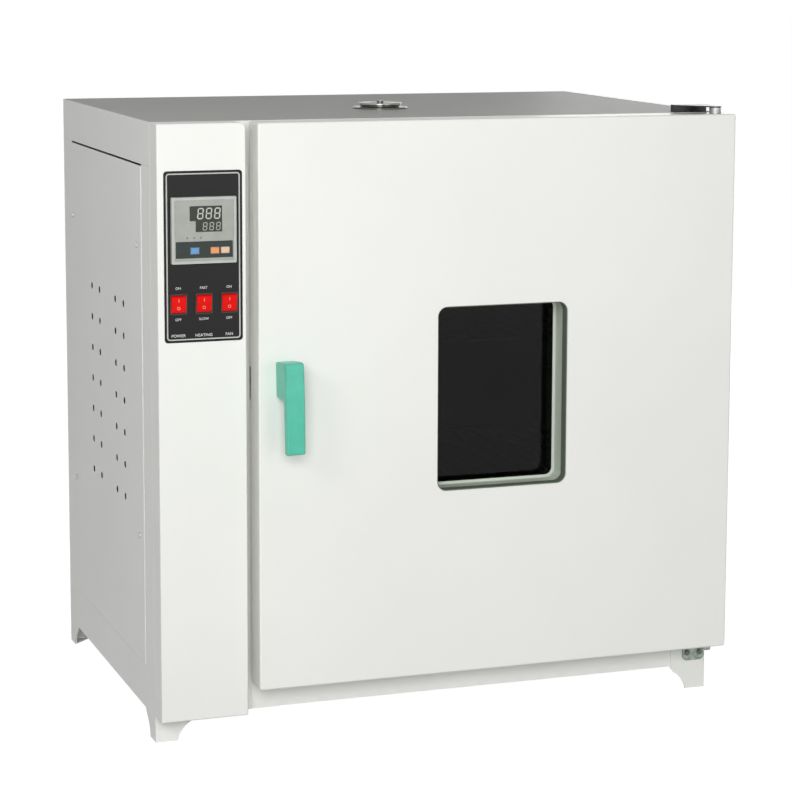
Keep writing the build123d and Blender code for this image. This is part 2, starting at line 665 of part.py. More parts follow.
# Fan wheel: a back disc, forward-curved blades, a front ring and a hub
fan_back = liner_left + FAN_WALL_GAP
blade_root = FAN_EYE_RADIUS
blade_tip = FAN_RADIUS - FAN_SHEET
blade_mid = (blade_root + blade_tip) / 2
sweep = radians(FAN_SWEEP)
with BuildPart() as fan_wheel:
    with BuildSketch(side_plane(fan_back)):
        with Locations((fan_y, fan_z)):
            Circle(FAN_RADIUS)
    extrude(amount=FAN_SHEET)
    with BuildSketch(side_plane(fan_back)):
        with Locations((fan_y, fan_z)):
            Circle(FAN_HUB / 2)
    extrude(amount=0.7 * FAN_WIDTH)
    for n in range(FAN_BLADES):
        turn = radians(360 * n / FAN_BLADES)
        blade_plane = Plane(
            origin=(fan_back + FAN_SHEET, fan_y, fan_z), x_dir=(0, cos(turn), sin(turn)), z_dir=(1, 0, 0),
        )
        with BuildSketch(blade_plane):
            with BuildLine():
                ThreePointArc(
                    (blade_root, 0),
                    (blade_mid * cos(0.32 * sweep), blade_mid * sin(0.32 * sweep)),
                    (blade_tip * cos(sweep), blade_tip * sin(sweep)),
                )
            trace(line_width=FAN_SHEET)
    extrude(amount=FAN_WIDTH - 2 * FAN_SHEET)
    with BuildSketch(side_plane(fan_back + FAN_WIDTH - FAN_SHEET)):
        with Locations((fan_y, fan_z)):
            Circle(FAN_RADIUS)
            Circle(FAN_EYE_RADIUS, mode=Mode.SUBTRACT)
    extrude(amount=FAN_SHEET)
    rod(
        (fan_back - 1, fan_y, fan_z), (fan_back + FAN_WIDTH, fan_y, fan_z),
        FAN_SHAFT + 2 * RUNNING_FIT, Mode.SUBTRACT,
    )
fan_wheel.part.label = "fan_wheel"
export_step(fan_wheel.part, "parts/fan_wheel.step")

# Fan shaft with a cap nut that holds the wheel
motor_right = partition_left - STANDOFF_LENGTH - MOTOR_SHEET
motor_left = motor_right - MOTOR_LENGTH
shaft_left = motor_left + MOTOR_LENGTH / 4
shaft_right = fan_back + 0.7 * FAN_WIDTH
with BuildPart() as fan_shaft:
    rod((shaft_left, fan_y, fan_z), (shaft_right, fan_y, fan_z), FAN_SHAFT)
    with BuildSketch(side_plane(shaft_right)):
        with Locations((fan_y, fan_z)):
            RegularPolygon(0.8 * FAN_SHAFT, 6)
    extrude(amount=FAN_SHAFT / 2)
fan_shaft.part.label = "fan_shaft"
export_step(fan_shaft.part, "parts/fan_shaft.step")

# Fan motor: a finned can between two end bells, bored for the shaft
with BuildPart() as fan_motor:
    with BuildSketch(side_plane(motor_left)):
        with Locations((fan_y, fan_z)):
            Circle(MOTOR_BELL / 2)
    extrude(amount=MOTOR_LENGTH)
    with BuildSketch(side_plane(motor_left + 0.12 * MOTOR_LENGTH)):
        with Locations((fan_y, fan_z)):
            Circle(0.92 * MOTOR_DIAMETER / 2)
            with PolarLocations(0.92 * MOTOR_DIAMETER / 2, 12):
                Rectangle(0.08 * MOTOR_DIAMETER, 0.06 * MOTOR_DIAMETER)
    extrude(amount=0.7 * MOTOR_LENGTH)
    rod(
        (shaft_left - 1, fan_y, fan_z), (motor_right, fan_y, fan_z),
        FAN_SHAFT + 4 * RUNNING_FIT, Mode.SUBTRACT,
    )
fan_motor.part.label = "fan_motor"
export_step(fan_motor.part, "parts/fan_motor.step")

# Motor bracket: a plate on four standoffs
with BuildPart() as motor_bracket:
    with BuildSketch(side_plane(motor_right)):
        with Locations((fan_y, fan_z)):
            RectangleRounded(MOTOR_PLATE, MOTOR_PLATE, MOTOR_SHEET * 3)
            Circle(FAN_SHAFT, mode=Mode.SUBTRACT)
    extrude(amount=MOTOR_SHEET)
    with BuildSketch(side_plane(motor_right + MOTOR_SHEET)):
        with Locations((fan_y, fan_z)):
            with GridLocations(STANDOFF_SPAN, STANDOFF_SPAN, 2, 2):
                Circle(STANDOFF_DIAMETER / 2)
    extrude(amount=STANDOFF_LENGTH)
motor_bracket.part.label = "motor_bracket"
export_step(motor_bracket.part, "parts/motor_bracket.step")

# Heater: a tubular ring round the fan wheel, with two tails through the wall
heater_x = fan_back + FAN_WIDTH / 2
tail_end = partition_left - HEATER_TAIL
with BuildPart() as heater:
    ring_start = heater_angle - heater_lap
    with BuildSketch(Plane(
        origin=(heater_x, fan_y, fan_z), x_dir=(1, 0, 0), z_dir=(0, -cos(ring_start), -sin(ring_start)),
    )):
        with Locations((0, -HEATER_RADIUS)):
            Circle(HEATER_TUBE / 2)
    revolve(axis=Axis((heater_x, fan_y, fan_z), (1, 0, 0)), revolution_arc=360 - 2 * degrees(ring_start))
    for y, z in heater_ends:
        rod((heater_x, y, z), (tail_end, y, z), HEATER_TUBE)
        rod((tail_end, y, z), (tail_end - HEATER_TUBE, y, z), HEATER_TUBE / 2)
heater.part.label = "heater"
export_step(heater.part, "parts/heater.step")

# Temperature probe: a closed tube with a collar on the partition
probe_tip = duct_face + PROBE_REACH
with BuildPart() as temperature_probe:
    rod((partition_left - PROBE_TAIL, *probe_spot), (probe_tip, *probe_spot), PROBE_DIAMETER)
    rod((partition_left - PROBE_TAIL / 2, *probe_spot), (partition_left, *probe_spot), PROBE_COLLAR)
    probe_end = temperature_probe.edges().filter_by(GeomType.CIRCLE).sort_by(Axis.X)[-1]
    fillet(probe_end, radius=PROBE_ROUND)
temperature_probe.part.label = "temperature_probe"
export_step(temperature_probe.part, "parts/temperature_probe.step")

# Shelf racks: two upright strips and a stack of angle runners on each side
runner_heights = sorted([*SHELF_HEIGHTS.values(), *SPARE_RUNNERS])
rack_front = duct_front + LINER_SHEET
rack_back = duct_back - LINER_SHEET
rack_low = chamber_low + SEAM
rack_high = chamber_low + runner_heights[-1] + RACK_RUNNER * 2
for side_name, wall_x, way in (("left", duct_face, 1), ("right", chamber_right, -1)):
    strip = sorted((wall_x, wall_x + way * RACK_SHEET))
    ledge = sorted((wall_x + way * RACK_SHEET, wall_x + way * RACK_RUNNER))
    runner = sorted((wall_x + way * RACK_SHEET, wall_x + 2 * way * RACK_SHEET))
    with BuildPart() as rack:
        for y in (rack_front + RACK_SET_BACK, rack_back - RACK_SET_BACK - RACK_STRIP):
            block(*strip, y, y + RACK_STRIP, rack_low, rack_high)
        for height in runner_heights:
            z = chamber_low + height
            block(*runner, rack_front, rack_back, z - RACK_RUNNER, z)
            block(*ledge, rack_front, rack_back, z - RACK_SHEET, z)
    rack.part.label = f"{side_name}_shelf_rack"
    export_step(rack.part, f"parts/{side_name}_shelf_rack.step")

# Wire shelves: a rod frame with wires from front to back
shelf_left = duct_face + 2 * RACK_SHEET + SHELF_SIDE_GAP
shelf_right = chamber_right - 2 * RACK_SHEET - SHELF_SIDE_GAP
shelf_front = chamber_front + SHELF_END_GAP
shelf_back = chamber_back - SHELF_END_GAP
wire_pitch = (shelf_right - shelf_left - SHELF_ROD) / (SHELF_WIRES + 1)
for shelf_name, height in SHELF_HEIGHTS.items():
    z = chamber_low + height + SHELF_ROD / 2
    in_left = shelf_left + SHELF_ROD / 2
    in_right = shelf_right - SHELF_ROD / 2
    in_front = shelf_front + SHELF_ROD / 2
    in_back = shelf_back - SHELF_ROD / 2
    with BuildPart() as shelf:
        for y in (in_front, in_back):
            rod((shelf_left, y, z), (shelf_right, y, z), SHELF_ROD)
        for x in (in_left, in_right):
            rod((x, shelf_front + SHELF_LAP, z), (x, shelf_back - SHELF_LAP, z), SHELF_SIDE_ROD)
        for n in range(1, SHELF_WIRES + 1):
            x = in_left + n * wire_pitch
            rod((x, shelf_front + SHELF_LAP, z), (x, shelf_back - SHELF_LAP, z), SHELF_WIRE)
    shelf.part.label = shelf_name
    export_step(shelf.part, f"parts/{shelf_name}.step")

# Control column: a folded sheet box, open at the back, with a rounded top right corner
y_panel = y_front - PANEL_DEPTH
panel_right = x_left + PANEL_WIDTH
panel_low = z_low + PANEL_LIFT
panel_mid = ((x_left + panel_right) / 2, (panel_low + z_top) / 2)
with BuildPart() as control_panel:
    with BuildSketch(front_plane(y_front)):
        with Locations(panel_mid):
            Rectangle(PANEL_WIDTH, z_top - panel_low)
    extrude(amount=PANEL_DEPTH)
    top_right = control_panel.edges().filter_by(Axis.Y).group_by(Axis.Z)[-1].sort_by(Axis.X)[-1]
    fillet(top_right, radius=PANEL_CORNER)
    fillet(control_panel.faces().sort_by(Axis.Y)[0].edges(), radius=PANEL_BEND)
    offset(amount=-SHEET, openings=control_panel.faces().sort_by(Axis.Y)[-1])
    with BuildSketch(front_plane(y_panel)):
        with Locations((plate_x, meter_z)):
            Rectangle(meter_cut, meter_cut)
        with Locations([(x, switch_z) for x in switch_places]):
            Rectangle(*switch_cut)
    extrude(amount=-2 * SHEET, mode=Mode.SUBTRACT)
control_panel.part.label = "control_panel"
export_step(control_panel.part, "parts/control_panel.step")

# Control plate: the dark plate on the column's face
y_plate = y_panel - PLATE_THICKNESS
with BuildPart() as control_plate:
    with BuildSketch(front_plane(y_panel)):
        with Locations((plate_x, plate_z)):
            RectangleRounded(PLATE_WIDTH, PLATE_HEIGHT, PLATE_CORNER)
        with Locations((plate_x, meter_z)):
            Rectangle(meter_cut, meter_cut, mode=Mode.SUBTRACT)
        with Locations([(x, switch_z) for x in switch_places]):
            Rectangle(*switch_cut, mode=Mode.SUBTRACT)
    extrude(amount=PLATE_THICKNESS)
control_plate.part.label = "control_plate"
export_step(control_plate.part, "parts/control_plate.step")

# Controller housing: a square bezel, a deep body, a recess for the face and three key pockets
y_meter = y_plate - METER_RISE
y_recess = y_meter + FACE_RECESS
key_z = meter_z + KEY_LIFT
with BuildPart() as controller_housing:
    with BuildSketch(front_plane(y_plate)):
        with Locations((plate_x, meter_z)):
            RectangleRounded(METER_SIZE, METER_SIZE, METER_RISE / 3)
    extrude(amount=METER_RISE, taper=4)
    with BuildSketch(front_plane(y_plate)):
        with Locations((plate_x, meter_z)):
            Rectangle(METER_BODY, METER_BODY)
    extrude(amount=-METER_BODY_DEPTH)
    with BuildSketch(front_plane(y_recess)):
        with Locations((plate_x, meter_z)):
            Rectangle(FACE_SIZE, FACE_SIZE)
    extrude(amount=2 * FACE_RECESS, mode=Mode.SUBTRACT)
    with BuildSketch(front_plane(y_recess)):
        with Locations([(plate_x + x, key_z) for x in KEY_PLACES.values()]):
            Rectangle(KEY_SIZE[0] + 2 * SLIP, KEY_SIZE[1] + 2 * SLIP)
    extrude(amount=-KEY_POCKET, mode=Mode.SUBTRACT)
controller_housing.part.label = "controller_housing"
export_step(controller_housing.part, "parts/controller_housing.step")

# Controller face and its two display windows
upper_z = meter_z + WINDOW_TOP - UPPER_WINDOW[1] / 2
lower_z = meter_z + WINDOW_TOP - UPPER_WINDOW[1] - LOWER_WINDOW[1] / 2
upper_x = plate_x + WINDOW_RIGHT - UPPER_WINDOW[0] / 2
lower_x = plate_x + WINDOW_RIGHT - LOWER_WINDOW[0] / 2
with BuildPart() as controller_face:
    with BuildSketch(front_plane(y_recess)):
        with Locations((plate_x, meter_z)):
            Rectangle(FACE_SIZE - 2 * SLIP, FACE_SIZE - 2 * SLIP)
        with Locations((upper_x, upper_z)):
            Rectangle(*UPPER_WINDOW, mode=Mode.SUBTRACT)
        with Locations((lower_x, lower_z)):
            Rectangle(*LOWER_WINDOW, mode=Mode.SUBTRACT)
        with Locations([(plate_x + x, key_z) for x in KEY_PLACES.values()]):
            Rectangle(KEY_SIZE[0] + 2 * SLIP, KEY_SIZE[1] + 2 * SLIP, mode=Mode.SUBTRACT)
    extrude(amount=FACE_THICKNESS)
controller_face.part.label = "controller_face"
export_step(controller_face.part, "parts/controller_face.step")

with BuildPart() as controller_display:
    with BuildSketch(front_plane(y_recess)):
        with Locations((upper_x, upper_z)):
            Rectangle(UPPER_WINDOW[0], UPPER_WINDOW[1])
        with Locations((lower_x, lower_z)):
            Rectangle(LOWER_WINDOW[0], LOWER_WINDOW[1])
        offset(amount=-SLIP)
    extrude(amount=0.8 * FACE_THICKNESS)
controller_display.part.label = "controller_display"
export_step(controller_display.part, "parts/controller_display.step")

# Controller keys: three caps that press in
y_key_front = y_recess - FACE_THICKNESS - KEY_RISE
y_key_back = y_recess + KEY_POCKET - KEY_TRAVEL - SLIP
for key_name, x in KEY_PLACES.items():
    with BuildPart() as key:
        with BuildSketch(front_plane(y_key_back)):
            with Locations((plate_x + x, key_z)):
                RectangleRounded(*KEY_SIZE, 1)
        extrude(amount=y_key_back - y_key_front)
        fillet(key.faces().sort_by(Axis.Y)[0].edges(), radius=0.4)
    key.part.label = key_name
    export_step(key.part, f"parts/{key_name}.step")

# Rocker switches: a housing with a bezel and a pocket, and a rocker on two stub pins
y_pivot = y_plate + PIVOT_DEPTH
pocket_width = ROCKER_WIDTH + 2 * ROCKER_SLIP
pocket_height = 2 * (ROCKER_RADIUS + ROCKER_SLIP)
for switch_name, x in zip(SWITCH_NAMES, switch_places):
    with BuildPart() as switch_housing:
        with BuildSketch(front_plane(y_plate)):
            with Locations((x, switch_z)):
                RectangleRounded(*SWITCH_BEZEL, 2)
        extrude(amount=SWITCH_RISE, taper=8)
        with BuildSketch(front_plane(y_plate)):
            with Locations((x, switch_z)):
                Rectangle(*SWITCH_BODY)
        extrude(amount=-SWITCH_BODY_DEPTH)
        with BuildSketch(front_plane(y_plate - SWITCH_RISE)):
            with Locations((x, switch_z)):
                Rectangle(pocket_width, pocket_height)
        extrude(amount=-(SWITCH_RISE + PIVOT_DEPTH + ROCKER_RADIUS), mode=Mode.SUBTRACT)
        rod(
            (x - pocket_width / 2 - ROCKER_PIN_LENGTH, y_pivot, switch_z),
            (x + pocket_width / 2 + ROCKER_PIN_LENGTH, y_pivot, switch_z),
            ROCKER_PIN + 2 * RUNNING_FIT, Mode.SUBTRACT,
        )
    switch_housing.part.label = f"{switch_name}_switch_housing"
    export_step(switch_housing.part, f"parts/{switch_name}_switch_housing.step")

    tilt = radians(ROCKER_TILT)
    rocker_plane = Plane(
        origin=(x - ROCKER_WIDTH / 2, y_pivot, switch_z), x_dir=(0, cos(tilt), sin(tilt)), z_dir=(1, 0, 0),
    )
    shoulder = (-ROCKER_RADIUS * sin(radians(26)), ROCKER_RADIUS * cos(radians(26)))
    heel = (ROCKER_RADIUS * sin(radians(32)), ROCKER_RADIUS * cos(radians(32)))
    with BuildPart() as rocker:
        with BuildSketch(rocker_plane):
            with BuildLine():
                Polyline((shoulder[0], -shoulder[1]), (-ROCKER_CREST, 0), shoulder)
                RadiusArc(shoulder, heel, ROCKER_RADIUS)
                Line(heel, (heel[0], -heel[1]))
                RadiusArc((heel[0], -heel[1]), (shoulder[0], -shoulder[1]), ROCKER_RADIUS)
            make_face()
        extrude(amount=ROCKER_WIDTH)
        reach = ROCKER_WIDTH / 2 + ROCKER_SLIP + ROCKER_PIN_LENGTH - RUNNING_FIT
        rod((x - reach, y_pivot, switch_z), (x + reach, y_pivot, switch_z), ROCKER_PIN)
    rocker.part.label = f"{switch_name}_rocker"
    export_step(rocker.part, f"parts/{switch_name}_rocker.step")

# Terminal block and relay on the partition, inside the control compartment
electrics_y = y_back - ELECTRICS_IN
with BuildPart() as terminal_block:
    depth, length, height = TERMINAL_SIZE
    z = z_low + SKIRT_HEIGHT + height
    y = electrics_y - length / 2
    block(partition_left - depth, partition_left, y, y + length, z, z + height)
    for n in range(TERMINAL_WAYS):
        y = electrics_y - length / 2 + (n + 0.5) * length / TERMINAL_WAYS
        way_half = 0.35 * length / TERMINAL_WAYS
        block(
            partition_left - depth - 1, partition_left - 0.6 * depth, y - way_half, y + way_half,
            z + 0.25 * height, z + 0.75 * height, mode=Mode.SUBTRACT,
        )
terminal_block.part.label = "terminal_block"
export_step(terminal_block.part, "parts/terminal_block.step")

with BuildPart() as heater_relay:
    depth, length, height = RELAY_SIZE
    z = door_mid_z - height / 2
    y = electrics_y - length / 2
    block(partition_left - depth, partition_left, y, y + length, z, z + height)
    for n in range(RELAY_FINS):
        y = electrics_y - length / 2 + (n + 0.5) * length / RELAY_FINS
        fin_half = 0.28 * length / RELAY_FINS
        block(
            partition_left - 0.55 * depth, partition_left - SHEET * 2, y - fin_half, y + fin_half,
            z - 1, z + height + 1, mode=Mode.SUBTRACT,
        )
heater_relay.part.label = "heater_relay"
export_step(heater_relay.part, "parts/heater_relay.step")

# Exhaust: a tube through the insulation, a flange with four ports and a disc that turns over them
with BuildPart() as exhaust_tube:
    with BuildSketch(Plane.XY.offset(liner_out_high)):
        with Locations((exhaust_x, exhaust_y)):
            Circle(EXHAUST_TUBE / 2)
            Circle(EXHAUST_TUBE / 2 - EXHAUST_WALL, mode=Mode.SUBTRACT)
    extrude(amount=z_top - liner_out_high)
exhaust_tube.part.label = "exhaust_tube"
export_step(exhaust_tube.part, "parts/exhaust_tube.step")

exhaust_axis = Axis((exhaust_x, exhaust_y, 0), (0, 0, 1))
with BuildPart() as exhaust_flange:
    with BuildSketch(Plane(origin=(exhaust_x, exhaust_y, z_top), x_dir=(1, 0, 0), z_dir=(0, -1, 0))):
        with BuildLine():
            Polyline(
                (0, EXHAUST_RISE - EXHAUST_WEB),
                (EXHAUST_TUBE / 2 - EXHAUST_WALL, EXHAUST_RISE - EXHAUST_WEB),
                (EXHAUST_TUBE / 2 - EXHAUST_WALL, 0),
                (EXHAUST_FLANGE / 2, 0),
                (EXHAUST_FLANGE / 2, EXHAUST_RIM / 2),
                (EXHAUST_FLANGE / 2 - EXHAUST_RIM / 2, EXHAUST_RIM),
                (EXHAUST_NECK / 2 + 1, EXHAUST_RIM),
                (EXHAUST_NECK / 2, EXHAUST_RIM + 1),
                (EXHAUST_NECK / 2, EXHAUST_RISE),
                (0, EXHAUST_RISE),
                (0, EXHAUST_RISE - EXHAUST_WEB),
            )
        make_face()
    revolve(axis=exhaust_axis)
    with Locations((exhaust_x, exhaust_y, z_top + EXHAUST_RISE)):
        with PolarLocations(EXHAUST_PORT_RADIUS, EXHAUST_PORTS):
            Hole(EXHAUST_PORT / 2, depth=2 * EXHAUST_WEB)
    pin_top = z_top + EXHAUST_RISE + EXHAUST_DISC_SHEET + 2 * EXHAUST_GAP
    web_top = z_top + EXHAUST_RISE
    rod((exhaust_x, exhaust_y, web_top), (exhaust_x, exhaust_y, pin_top), EXHAUST_PIN)
    rod((exhaust_x, exhaust_y, pin_top), (exhaust_x, exhaust_y, pin_top + EXHAUST_KNOB_RISE), EXHAUST_KNOB)
exhaust_flange.part.label = "exhaust_flange"
export_step(exhaust_flange.part, "parts/exhaust_flange.step")

with BuildPart() as exhaust_disc:
    with BuildSketch(Plane.XY.offset(z_top + EXHAUST_RISE + EXHAUST_GAP)):
        with Locations((exhaust_x, exhaust_y)):
            Circle(EXHAUST_DISC / 2)
            Circle(EXHAUST_PIN / 2 + RUNNING_FIT, mode=Mode.SUBTRACT)
            with PolarLocations(EXHAUST_PORT_RADIUS, EXHAUST_PORTS, start_angle=180 / EXHAUST_PORTS):
                Circle(EXHAUST_PORT / 2, mode=Mode.SUBTRACT)
    extrude(amount=EXHAUST_DISC_SHEET)
    disc_rim = exhaust_disc.edges().filter_by(GeomType.CIRCLE).group_by(SortBy.RADIUS)[-1]
    chamfer(disc_rim, length=0.3 * EXHAUST_DISC_SHEET)
exhaust_disc.part.label = "exhaust_disc"
export_step(exhaust_disc.part, "parts/exhaust_disc.step")

# Mains gland on the back: a hexagon body, a domed nut and a bore for the cord
with BuildPart() as mains_gland:
    with BuildSketch(front_plane(y_back)):
        with Locations((gland_x, gland_z)):
            RegularPolygon(GLAND_DIAMETER / 2, 6)
    extrude(amount=-GLAND_REACH / 3)
    with BuildSketch(front_plane(y_back + GLAND_REACH / 3)):
        with Locations((gland_x, gland_z)):
            Circle(0.42 * GLAND_DIAMETER)
    extrude(amount=-2 * GLAND_REACH / 3, taper=10)
    rod((gland_x, y_back, gland_z), (gland_x, y_back - GLAND_REACH / 2, gland_z), GLAND_HOLE - 2 * SLIP)
    rod(
        (gland_x, y_back - GLAND_REACH, gland_z), (gland_x, y_back + 2 * GLAND_REACH, gland_z),
        GLAND_BORE, Mode.SUBTRACT,
    )
mains_gland.part.label = "mains_gland"
export_step(mains_gland.part, "parts/mains_gland.step")

# Door outer skin: a pan with rounded edges, a window with a folded return, and the latch and hinge holes
door_middle = (door_mid_x, door_mid_z)
door_width = door_right - door_left
door_height = z_top - door_low
with BuildPart() as door_outer_skin:
    with BuildSketch(front_plane(y_door_back)):
        with Locations(door_middle):
            RectangleRounded(door_width, door_height, DOOR_CORNER)
    extrude(amount=DOOR_THICKNESS)
    fillet(door_outer_skin.faces().sort_by(Axis.Y)[0].edges(), radius=DOOR_BEND)
    offset(amount=-SHEET, openings=door_outer_skin.faces().sort_by(Axis.Y)[-1])
    with BuildSketch(front_plane(y_door + SHEET)):
        with Locations(window_middle):
            RectangleRounded(WINDOW_WIDTH + 2 * SHEET, WINDOW_HEIGHT + 2 * SHEET, WINDOW_CORNER + SHEET)
    extrude(amount=-(WINDOW_RETURN - SHEET))
    with BuildSketch(front_plane(y_door - 1)):
        with Locations(window_middle):
            RectangleRounded(WINDOW_WIDTH, WINDOW_HEIGHT, WINDOW_CORNER)
        with Locations((latch_x, latch_z)):
            Circle(LATCH_BUSH / 2 + HOLE_SLIP)
    extrude(amount=-DOOR_THICKNESS, mode=Mode.SUBTRACT)
    for z in (door_low, z_top):
        rod((hinge_x, hinge_y, z - 2 * SHEET), (hinge_x, hinge_y, z + 2 * SHEET),
            SPIGOT_DIAMETER + 2 * RUNNING_FIT, Mode.SUBTRACT)
door_outer_skin.part.label = "door_outer_skin"
export_step(door_outer_skin.part, "parts/door_outer_skin.step")

# Door inner skin: a back plate with a raised plug that holds the glass
skin_left = door_left + SHEET + SEAM
skin_right = door_right - SHEET - SEAM
skin_low = door_low + SHEET + SEAM
skin_high = z_top - SHEET - SEAM
plug_width = chamber_width + 2 * PLUG_MARGIN
plug_height = chamber_height + 2 * PLUG_MARGIN
y_plug = y_door_back + PLUG_RISE
y_glass_back = y_plug - SHEET
y_glass = y_glass_back - GLASS_THICKNESS
with BuildPart() as door_inner_skin:
    with BuildSketch(front_plane(y_door_back)):
        with Locations(((skin_left + skin_right) / 2, (skin_low + skin_high) / 2)):
            RectangleRounded(skin_right - skin_left, skin_high - skin_low, DOOR_CORNER)
    extrude(amount=SHEET)
    with BuildSketch(front_plane(y_door_back)):
        with Locations(door_middle):
            RectangleRounded(plug_width, plug_height, WINDOW_CORNER)
    extrude(amount=-PLUG_RISE)
    with BuildSketch(front_plane(y_glass_back)):
        with Locations(door_middle):
            RectangleRounded(plug_width - 2 * SHEET, plug_height - 2 * SHEET, WINDOW_CORNER - SHEET)
    extrude(amount=PLUG_RISE + SHEET, mode=Mode.SUBTRACT)
    with BuildSketch(front_plane(y_plug)):
        with Locations(window_middle):
            RectangleRounded(
                WINDOW_WIDTH + 2 * GLASS_MARGIN - 2 * GLASS_LIP,
                WINDOW_HEIGHT + 2 * GLASS_MARGIN - 2 * GLASS_LIP,
                WINDOW_CORNER,
            )
        with Locations((latch_x, latch_z)):
            Circle(LATCH_BUSH / 2 + HOLE_SLIP)
    extrude(amount=PLUG_RISE + 2 * SHEET, mode=Mode.SUBTRACT)
door_inner_skin.part.label = "door_inner_skin"
export_step(door_inner_skin.part, "parts/door_inner_skin.step")

# Mitre seams at the window's four corners, shared by the sleeve and the trim
with BuildPart() as corner_cutter:
    with BuildSketch(front_plane(y_glass)):
        for across, up in ((-1, -1), (-1, 1), (1, -1), (1, 1)):
            corner_x = window_middle[0] + across * WINDOW_WIDTH / 2
            corner_z = window_middle[1] + up * WINDOW_HEIGHT / 2
            with Locations((corner_x, corner_z)):
                Rectangle(4 * WINDOW_CORNER, SEAM, rotation=45 * across * up)
    extrude(amount=DOOR_THICKNESS)
corner_seams = corner_cutter.part

# Window sleeve, with a lip round the glass at its back
sleeve_outer = (
    WINDOW_WIDTH + 2 * SLEEVE_SHEET,
    WINDOW_HEIGHT + 2 * SLEEVE_SHEET,
    WINDOW_CORNER + SLEEVE_SHEET,
)
with BuildPart() as window_sleeve:
    with BuildSketch(front_plane(y_glass - SEAM)):
        with Locations(window_middle):
            RectangleRounded(*sleeve_outer)
            RectangleRounded(WINDOW_WIDTH, WINDOW_HEIGHT, WINDOW_CORNER, mode=Mode.SUBTRACT)
    extrude(amount=y_glass - y_door - WINDOW_RETURN - 2 * SEAM)
    with BuildSketch(front_plane(y_glass - SEAM)):
        with Locations(window_middle):
            RectangleRounded(*sleeve_outer)
            RectangleRounded(
                WINDOW_WIDTH - 2 * SLEEVE_LIP, WINDOW_HEIGHT - 2 * SLEEVE_LIP, WINDOW_CORNER - SLEEVE_LIP,
                mode=Mode.SUBTRACT,
            )
    extrude(amount=SLEEVE_SHEET)
    add(corner_seams, mode=Mode.SUBTRACT)
window_sleeve.part.label = "window_sleeve"
export_step(window_sleeve.part, "parts/window_sleeve.step")

# Window trim: a soft strip that lines the folded return
with BuildPart() as window_trim:
    with BuildSketch(front_plane(y_door + WINDOW_RETURN)):
        with Locations(window_middle):
            RectangleRounded(WINDOW_WIDTH - 2 * SLIP, WINDOW_HEIGHT - 2 * SLIP, WINDOW_CORNER - SLIP)
            RectangleRounded(
                WINDOW_WIDTH - 2 * TRIM_SHEET, WINDOW_HEIGHT - 2 * TRIM_SHEET, WINDOW_CORNER - TRIM_SHEET,
                mode=Mode.SUBTRACT,
            )
    extrude(amount=WINDOW_RETURN - SHEET)
    add(corner_seams, mode=Mode.SUBTRACT)
window_trim.part.label = "window_trim"
export_step(window_trim.part, "parts/window_trim.step")

glass_size = (WINDOW_WIDTH + 2 * GLASS_MARGIN, WINDOW_HEIGHT + 2 * GLASS_MARGIN)
with BuildPart() as window_glass:
    with BuildSketch(front_plane(y_glass_back)):
        with Locations(window_middle):
            RectangleRounded(*glass_size, WINDOW_CORNER)
    extrude(amount=GLASS_THICKNESS)
window_glass.part.label = "window_glass"
export_step(window_glass.part, "parts/window_glass.step")

# Door insulation: four slabs round the window that step into the plug
window_low = window_middle[1] - WINDOW_HEIGHT / 2 - SHEET - SEAM
window_high = window_middle[1] + WINDOW_HEIGHT / 2 + SHEET + SEAM
spigot_clear = SPIGOT_DIAMETER + 4 * HOLE_SLIP
plug_walls = 2 * (SHEET + SEAM)
with BuildPart() as door_insulation:
    with BuildSketch(front_plane(y_door_back - SHEET - SEAM)):
        with Locations(((skin_left + skin_right) / 2, (skin_low + skin_high) / 2)):
            RectangleRounded(skin_right - skin_left, skin_high - skin_low, DOOR_CORNER)
    extrude(amount=DOOR_THICKNESS - 2 * SHEET - DOOR_BEND)
    with BuildSketch(front_plane(y_glass_back - SEAM)):
        with Locations(door_middle):
            RectangleRounded(plug_width - plug_walls, plug_height - plug_walls, WINDOW_CORNER)
    extrude(amount=PLUG_RISE)
    with BuildSketch(front_plane(y_glass - 2 * SEAM)):
        with Locations(window_middle):
            Rectangle(WINDOW_WIDTH + 2 * SHEET + 2 * SEAM, window_high - window_low)
        with Locations((latch_x, latch_z)):
            Circle(LATCH_BUSH / 2 + HOLE_SLIP)
    extrude(amount=2 * DOOR_THICKNESS, both=True, mode=Mode.SUBTRACT)
    with BuildSketch(front_plane(y_glass - 2 * SEAM)):
        with Locations(window_middle):
            Rectangle(glass_size[0] + 2 * SEAM, glass_size[1] + 2 * SEAM)
    extrude(amount=-PLUG_RISE, mode=Mode.SUBTRACT)
    for z in (door_low, z_top):
        rod((hinge_x, hinge_y, z - 2 * PIN_REACH), (hinge_x, hinge_y, z + 2 * PIN_REACH),
            spigot_clear, Mode.SUBTRACT)
    for z in (window_low, window_high + SEAM):
        block(skin_left - 1, skin_right + 1, y_door, y_back, z - SEAM, z, mode=Mode.SUBTRACT)
door_insulation.part.label = "door_insulation"
export_step(door_insulation.part, "parts/door_insulation.step")

# Door gasket: a ring on the door's back, just clear of the cabinet's front
gasket_inner = (chamber_width + 2 * GASKET_MARGIN, chamber_height + 2 * GASKET_MARGIN)
gasket_outer = (gasket_inner[0] + 2 * GASKET_WIDTH, gasket_inner[1] + 2 * GASKET_WIDTH)
with BuildPart() as door_gasket:
    with BuildSketch(front_plane(y_door_back)):
        with Locations(door_middle):
            RectangleRounded(*gasket_outer, WINDOW_CORNER + GASKET_WIDTH)
            RectangleRounded(*gasket_inner, WINDOW_CORNER, mode=Mode.SUBTRACT)
    extrude(amount=-(DOOR_STANDOFF - GASKET_CLEARANCE))
    fillet(door_gasket.faces().sort_by(Axis.Y)[-1].edges(), radius=GASKET_ROUND)
door_gasket.part.label = "door_gasket"
export_step(door_gasket.part, "parts/door_gasket.step")

